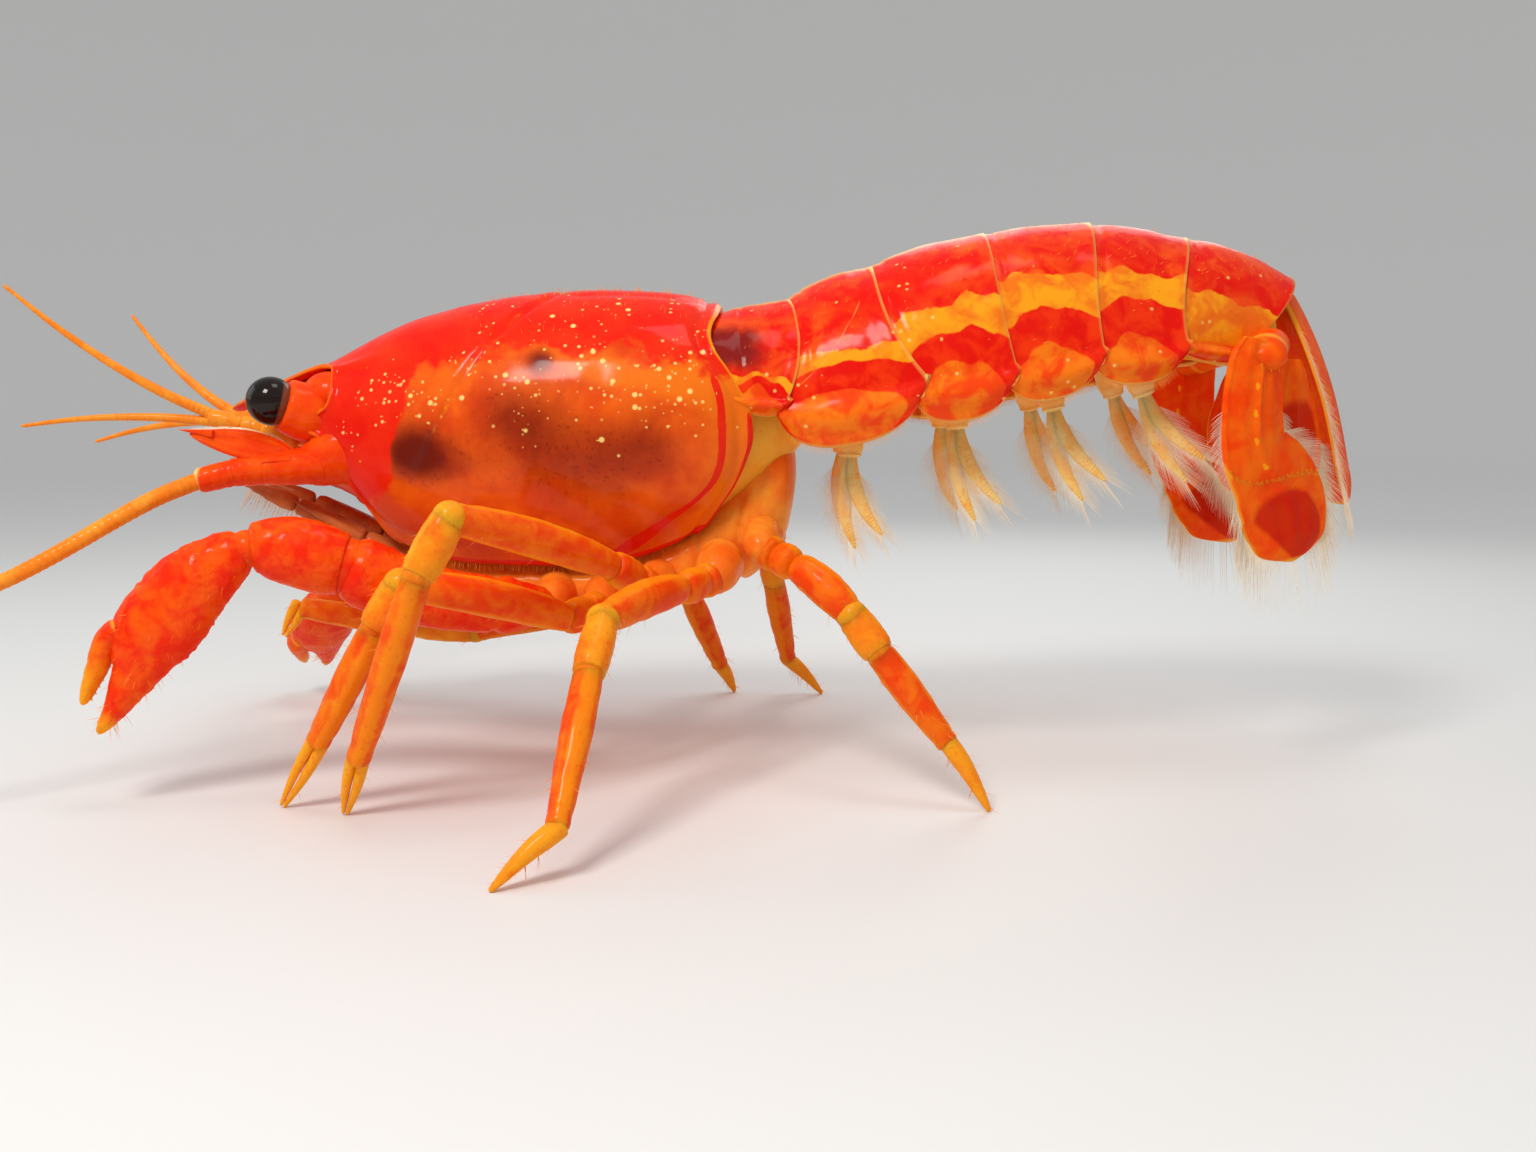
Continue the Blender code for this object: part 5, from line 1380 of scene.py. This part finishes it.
def strand(bm, root, way, length, thick, droop, home):
    """One tapering hair from root along way that bends by droop; home is its root's place on the map."""
    bake, uv = bm.loops.layers.uv["OFBake"], bm.loops.layers.uv["along_around"]
    root, way, droop = Vector(root), Vector(way).normalized(), Vector(droop)
    side = way.cross(Vector((0.31, 0.53, 0.79))).normalized()
    lift = side.cross(way)
    verts = bmesh.ops.create_grid(bm, x_segments=3, y_segments=3, size=1.0)["verts"]
    for face in {f for v in verts for f in v.link_faces}:
        for loop in face.loops:
            s, t = loop.vert.co.x / 2 + 0.5, loop.vert.co.y / 2 + 0.5
            loop[uv].uv = (s, t)
            loop[bake].uv = (home[0] + PATCH * s, home[1] + PATCH * t)
    for vert in verts:
        s, t = vert.co.x / 2 + 0.5, vert.co.y / 2 + 0.5
        radius = thick * (1 - 0.85 * s)
        angle = 2 * pi * t
        vert.co = (root + way * length * s + droop * s * s
                   + (side * cos(angle) + lift * sin(angle)) * radius)
    bmesh.ops.remove_doubles(bm, verts=verts, dist=SAME_PLACE)
    ends = [e for e in {e for v in verts if v.is_valid for e in v.link_edges} if e.is_boundary]
    bmesh.ops.holes_fill(bm, edges=ends, sides=0)


BATCH = 120                 # strands that are drawn in one small mesh
LOWEST = 0.02               # height over the floor that every tip keeps


class Fringe:
    """Collects strands for one piece, in small meshes that are joined at the end."""

    def __init__(self, name):
        self.name, self.bm, self.batch = name, hair_sketch(), hair_sketch()
        self.count = 0
        self.dice = random.Random(f"{SEED}{name}")

    def add(self, root, way, lengths, thick, droop, home):
        """Adds a strand whose length is drawn between two."""
        self.grow(root, way, self.dice.uniform(*lengths), thick, droop, home)

    def grow(self, root, way, length, thick, droop, home):
        """Adds a strand, unless it would reach the floor."""
        if root[2] + (Vector(way).normalized() * length + Vector(droop)).z < LOWEST:
            return
        strand(self.batch, root, way, length, thick, droop, home)
        self.count += 1
        if self.count % BATCH == 0:
            self.pour()

    def pour(self):
        bmesh.ops.recalc_face_normals(self.batch, faces=self.batch.faces)
        mesh = bpy.data.meshes.new("batch")
        self.batch.to_mesh(mesh)
        self.batch.free()
        self.bm.from_mesh(mesh)
        bpy.data.meshes.remove(mesh)
        self.batch = hair_sketch()

    def done(self, finish=HAIR):
        self.pour()
        self.batch.free()
        piece(self.name, self.bm, finish)


def leg_hairs(name, segments):
    fringe = Fringe(f"{name}_hairs")
    dice = fringe.dice
    for number, (start, end, radius) in enumerate(segments):
        ahead = (end - start).normalized()
        side = ahead.cross(Vector((0, 0, 1))).normalized()
        lift = side.cross(ahead)
        for k in range(26 if number < 3 else 34):
            share, angle = dice.uniform(0.1, 0.95), dice.uniform(0, 2 * pi)
            out = side * cos(angle) + lift * sin(angle)
            root = start.lerp(end, share) + out * radius * 0.75 * (1 if number < 3 else 1 - 0.7 * share)
            way = out + ahead * dice.uniform(0.5, 1.1)
            home = (0.1 + 0.2 * number + 0.15 * share, 0.1 + 0.8 * angle / (2 * pi))
            fringe.add(root, way, (0.22, 0.42), 0.011, ahead * 0.05, home)
    fringe.done(BRISTLE)


def claw_hairs(word, palm, stations):
    fringe = Fringe(f"claw_hairs_{word}")
    dice = fringe.dice
    widths = list(zip(evenly(0, 1, len(stations)), (station[1] for station in stations)))
    for _ in range(150):
        share, angle = dice.uniform(0.08, 0.96), dice.uniform(0, 2 * pi)
        centre, ahead, side, lift = palm.at(share)
        out = side * cos(angle) + lift * sin(angle) * 0.65
        root = centre + out * along(widths, share) * 0.8
        home = (0.1 + 0.8 * share, 0.1 + 0.8 * angle / (2 * pi))
        way = out.normalized() + ahead * dice.uniform(0.4, 1.0)
        fringe.add(root, way, (0.25, 0.5), 0.012, ahead * 0.05, home)
    fringe.done(BRISTLE)


def scale_fringe(word, blade):
    """The long fine fringe that hangs from the inner edge of an antenna's scale."""
    fringe = Fringe(f"scale_fringe_{word}")
    dice = fringe.dice
    edge = -1.0 if (blade.at(0.5, -1).y - blade.at(0.5, 1).y) * SIDES[word] < 0 else 1.0
    for share in evenly(0.12, 0.97, 70):
        root = blade.at(share, edge * 0.96)
        out = (root - blade.at(share, 0.0)).normalized()
        ahead = blade.path.at(share)[1]
        way = out + ahead * dice.uniform(0.6, 0.9) + Vector((0, 0, -0.5))
        fringe.add(root, way, (0.6, 0.85), 0.009, (0, 0, -0.12), (0.1 + 0.8 * share, 0.5))
    fringe.done()


def mouth_comb(word, points):
    """Two rows of stiff hairs along the inner and lower edges of a jaw leg."""
    fringe = Fringe(f"jaw_comb_{word}")
    dice = fringe.dice
    side = SIDES[word]
    for k in range(170):
        place = 1.0 + (len(points) - 2.05) * (k // 2) / 84
        i = min(int(place), len(points) - 2)
        root = points[i].lerp(points[i + 1], place - i)
        ahead = (points[i + 1] - points[i]).normalized()
        down = Vector((0.1, 0.15 * side, -1)) if k % 2 else Vector((0.0, -side, -0.35))
        way = down.normalized() + ahead * dice.uniform(0.3, 0.6)
        fringe.add(root + down.normalized() * 0.14, way, (0.55, 0.85), 0.013, ahead * 0.1,
                   (0.1 + 0.8 * place / len(points), 0.3 + 0.3 * (k % 2)))
    fringe.done()


def plate_fringe(name, plate):
    """The feathery border of a tail plate."""
    fringe = Fringe(f"fringe_{name}")
    dice = fringe.dice
    outer, telson = "outer" in name, name == "telson"
    for edge in (-1, 1):
        from_share = 0.3 if outer else 0.2 if telson else 0.6
        for step_on in evenly(0, 1, 230):
            share = from_share + (0.999 - from_share) * step_on ** 0.8
            across = edge * (1.0 if share < 0.985 else dice.uniform(0.0, 1.0))
            root = plate.at(share, across * 0.97)
            _, ahead, side, lift = plate.path.at(share)
            out = (side * across).normalized() if abs(across) > 0.1 else ahead
            tipwards = eased(0.55, 1.0, share)
            way = out * (1.0 - 0.75 * tipwards) + ahead * (0.45 + 1.4 * tipwards)
            way += lift * dice.uniform(-0.14, 0.14)
            length = (0.45 + 0.95 * eased(0.3, 0.95, share)) * dice.uniform(0.75, 1.1)
            length *= 1.0 if outer else 0.75
            droop = ahead * 0.2 * length + lift * dice.uniform(-0.08, 0.08)
            fringe.grow(root, way, length, 0.009, droop, (0.1 + 0.8 * share, 0.5 + 0.3 * across))
    fringe.done()


def paddle_fringe(index, word, blades):
    """The long hairs round both blades of a swimmeret."""
    fringe = Fringe(f"paddle_hairs_{index}_{word}")
    dice = fringe.dice
    for number, (path, profile) in enumerate(blades):
        for edge in (-1, 1):
            for share in evenly(0.25, 0.995, 52):
                centre, ahead, side, lift = path.at(share)
                root = centre + lift * edge * along(column(profile, 2), share) * 0.92
                way = lift * edge * (1 - 0.6 * share) + ahead * (0.8 + share)
                way += side * dice.uniform(-0.25, 0.25)
                fringe.add(root, way, (0.5, 0.95), 0.0085, ahead * 0.12,
                           (0.1 + 0.35 * number + 0.3 * share, 0.5 + 0.2 * edge))
    fringe.done()


def back_bristles():
    """Short bristles that stand along the rear of the carapace and over the abdomen's plates."""
    fringe = Fringe("back_bristles")
    dice = fringe.dice
    for _ in range(240):
        x, degrees = dice.uniform(-8.5, -1.5), abs(dice.gauss(0, 30))
        side = dice.choice((-1, 1))
        if degrees > 80:
            continue
        root, outer = shell_point(x, degrees, side), shell_point(x, degrees, side, 1.0)
        out = (outer - root).normalized()
        fringe.add(root, out + Vector((dice.uniform(-0.7, 0.5), 0, 0)), (0.07, 0.2), 0.012, (0, 0, 0),
                   (0.1 + 0.05 * (x + 9), 0.5 + side * degrees / 250))
    for index in range(6):
        for _ in range(80):
            q, around = dice.uniform(0.1, 1.05), dice.gauss(0, 0.3)
            if abs(around) > 0.95:
                continue
            root, outer = plate_point(index, q, around), plate_point(index, q, around, 0.4)
            out = (outer - root).normalized() if (outer - root).length > 1e-4 else Vector((0, 0, 1))
            fringe.add(root, out + Vector((dice.uniform(-0.3, 0.9), 0, 0)), (0.06, 0.17), 0.011, (0, 0, 0),
                       (0.1 + 0.12 * (index + q), 0.5 + around * 0.35))
    fringe.done(BRISTLE)


def lobe_fringe():
    """A short fringe along the rims of the abdomen's side lobes and the carapace's lower margin."""
    fringe = Fringe("lobe_fringe")
    dice = fringe.dice
    for side in SIDES.values():
        for index in range(1, 5):
            for q in evenly(0.06, 0.94, 60):
                root = plate_point(index, q, side * 0.995)
                out = Vector((0.5 * (q - 0.3), 0.1 * side, -1))
                fringe.add(root, out, (0.14, 0.26), 0.01, (0.03, 0, 0),
                           (0.1 + 0.18 * (index - 1 + q), 0.5 + 0.2 * side))
        for x in evenly(-10.4, -2.8, 120):
            root = shell_point(x, SHELL_REACH - 1, side)
            out = Vector((dice.uniform(-0.3, 0.3), 0.25 * side, -1))
            fringe.add(root, out, (0.14, 0.28), 0.01, (0, 0, 0),
                       (0.1 + 0.8 * (x + 10.4) / 7.6, 0.5 + 0.4 * side))
    fringe.done(BRISTLE)


# Stage: floor, light and camera

FOCAL = 1452 / 1536 * 36.0          # lens for a 36 mm wide sensor
PITCH = 6.91                        # degrees that the camera looks down
CAMERA_AT = (0.0, -44.0, 10.95)
FLOOR_RADIUS = 0.19                 # metres, of the flat part
FLOOR_RISE = 0.12                   # metres, the radius of the curve at its rim
FLOOR_CURVE = [radians(7.0 * turn) for turn in range(13)]


def in_frame(point):
    return PLACE @ Vector(point)


def plain_floor():
    bm = bmesh.new()
    radii = [FLOOR_RADIUS + FLOOR_RISE * sin(angle) for angle in FLOOR_CURVE]
    rim = bmesh.ops.create_circle(bm, cap_ends=False, segments=96, radius=FLOOR_RADIUS)["verts"]
    for turn in range(1, len(FLOOR_CURVE)):
        edges = [e for e in bm.edges if e.is_boundary or e.is_wire]
        edges = [e for e in edges if e.verts[0] in rim and e.verts[1] in rim]
        made = bmesh.ops.extrude_edge_only(bm, edges=edges)["geom"]
        rim = [v for v in made if isinstance(v, bmesh.types.BMVert)]
        grow = radii[turn] / radii[turn - 1]
        bmesh.ops.scale(bm, verts=rim, vec=(grow, grow, 1))
        for vert in rim:
            vert.co.z = FLOOR_RISE * (1 - cos(FLOOR_CURVE[turn]))
    bmesh.ops.holes_fill(bm, edges=[e for e in bm.edges if e.is_boundary and e.verts[0].co.z < 1e-6], sides=0)
    bmesh.ops.recalc_face_normals(bm, faces=bm.faces)
    mesh = bpy.data.meshes.new("floor")
    bm.to_mesh(mesh)
    bm.free()
    mesh.shade_smooth()
    made = bpy.data.materials.new("pale_floor")
    made.use_nodes = True
    shader = made.node_tree.nodes["Principled BSDF"]
    shader.inputs["Base Color"].default_value = (0.80, 0.80, 0.78, 1)
    shader.inputs["Roughness"].default_value = 0.55
    mesh.materials.append(made)
    floor = bpy.data.objects.new("floor", mesh)
    bpy.context.scene.collection.objects.link(floor)


def lamp(name, place, target, size, power, colour=(1, 1, 1)):
    light = bpy.data.lights.new(name, "AREA")
    light.size = size * MM
    light.energy = power
    light.color = colour
    obj = bpy.data.objects.new(name, light)
    bpy.context.scene.collection.objects.link(obj)
    obj.location = in_frame(place)
    obj.rotation_euler = (in_frame(target) - in_frame(place)).to_track_quat("-Z", "Y").to_euler()


def studio():
    world = bpy.data.worlds.new("studio")
    bpy.context.scene.world = world
    world.use_nodes = True
    sky = world.node_tree.nodes["Background"].inputs
    sky["Color"].default_value = (0.97, 0.98, 1.0, 1)
    sky["Strength"].default_value = 0.56
    middle = (-1.0, 0, 9.0)
    lamp("key", (-26, -50, 62), middle, 20, 0.033, (1.0, 0.98, 0.95))
    lamp("rim", (20, 60, 50), middle, 40, 0.010)
    lamp("top", (5, -8, 75), middle, 22, 0.006)
    lamp("side", (-75, 10, 35), middle, 40, 0.006)
    camera = bpy.data.cameras.new("camera")
    camera.sensor_width = 36.0
    camera.lens = FOCAL
    camera.clip_start = 0.001
    camera.clip_end = 10.0
    obj = bpy.data.objects.new("camera", camera)
    bpy.context.scene.collection.objects.link(obj)
    obj.location = in_frame(CAMERA_AT)
    obj.rotation_euler = (radians(90 - PITCH), 0, 0)
    bpy.context.scene.camera = obj
    bpy.context.scene.view_settings.view_transform = "Standard"


def build():
    studio()
    plain_floor()
    carapace()
    soft_body()
    breast()
    face()
    for index in range(6):
        abdomen_plate(index)
    plates = fan_plates()
    for name, plate in plates.items():
        tail_plate(name, plate)
        plate_fringe(name, plate)
    for word, side in SIDES.items():
        eye(word, side)
        antennule(word, side, *SMALL_FEELER_TIPS[word])
        antenna(word, side, LONG_FEELER_ROUTES[word])
        mouth_leg(word, side)
        claw_leg(word, CLAW_ARMS[word])
        for index in SWIMMERET_ROOTS:
            swimmeret(index, word, side)
    for name, joints in WALKING_LEGS.items():
        walking_leg(name, joints)
    back_bristles()
    lobe_fringe()


build()
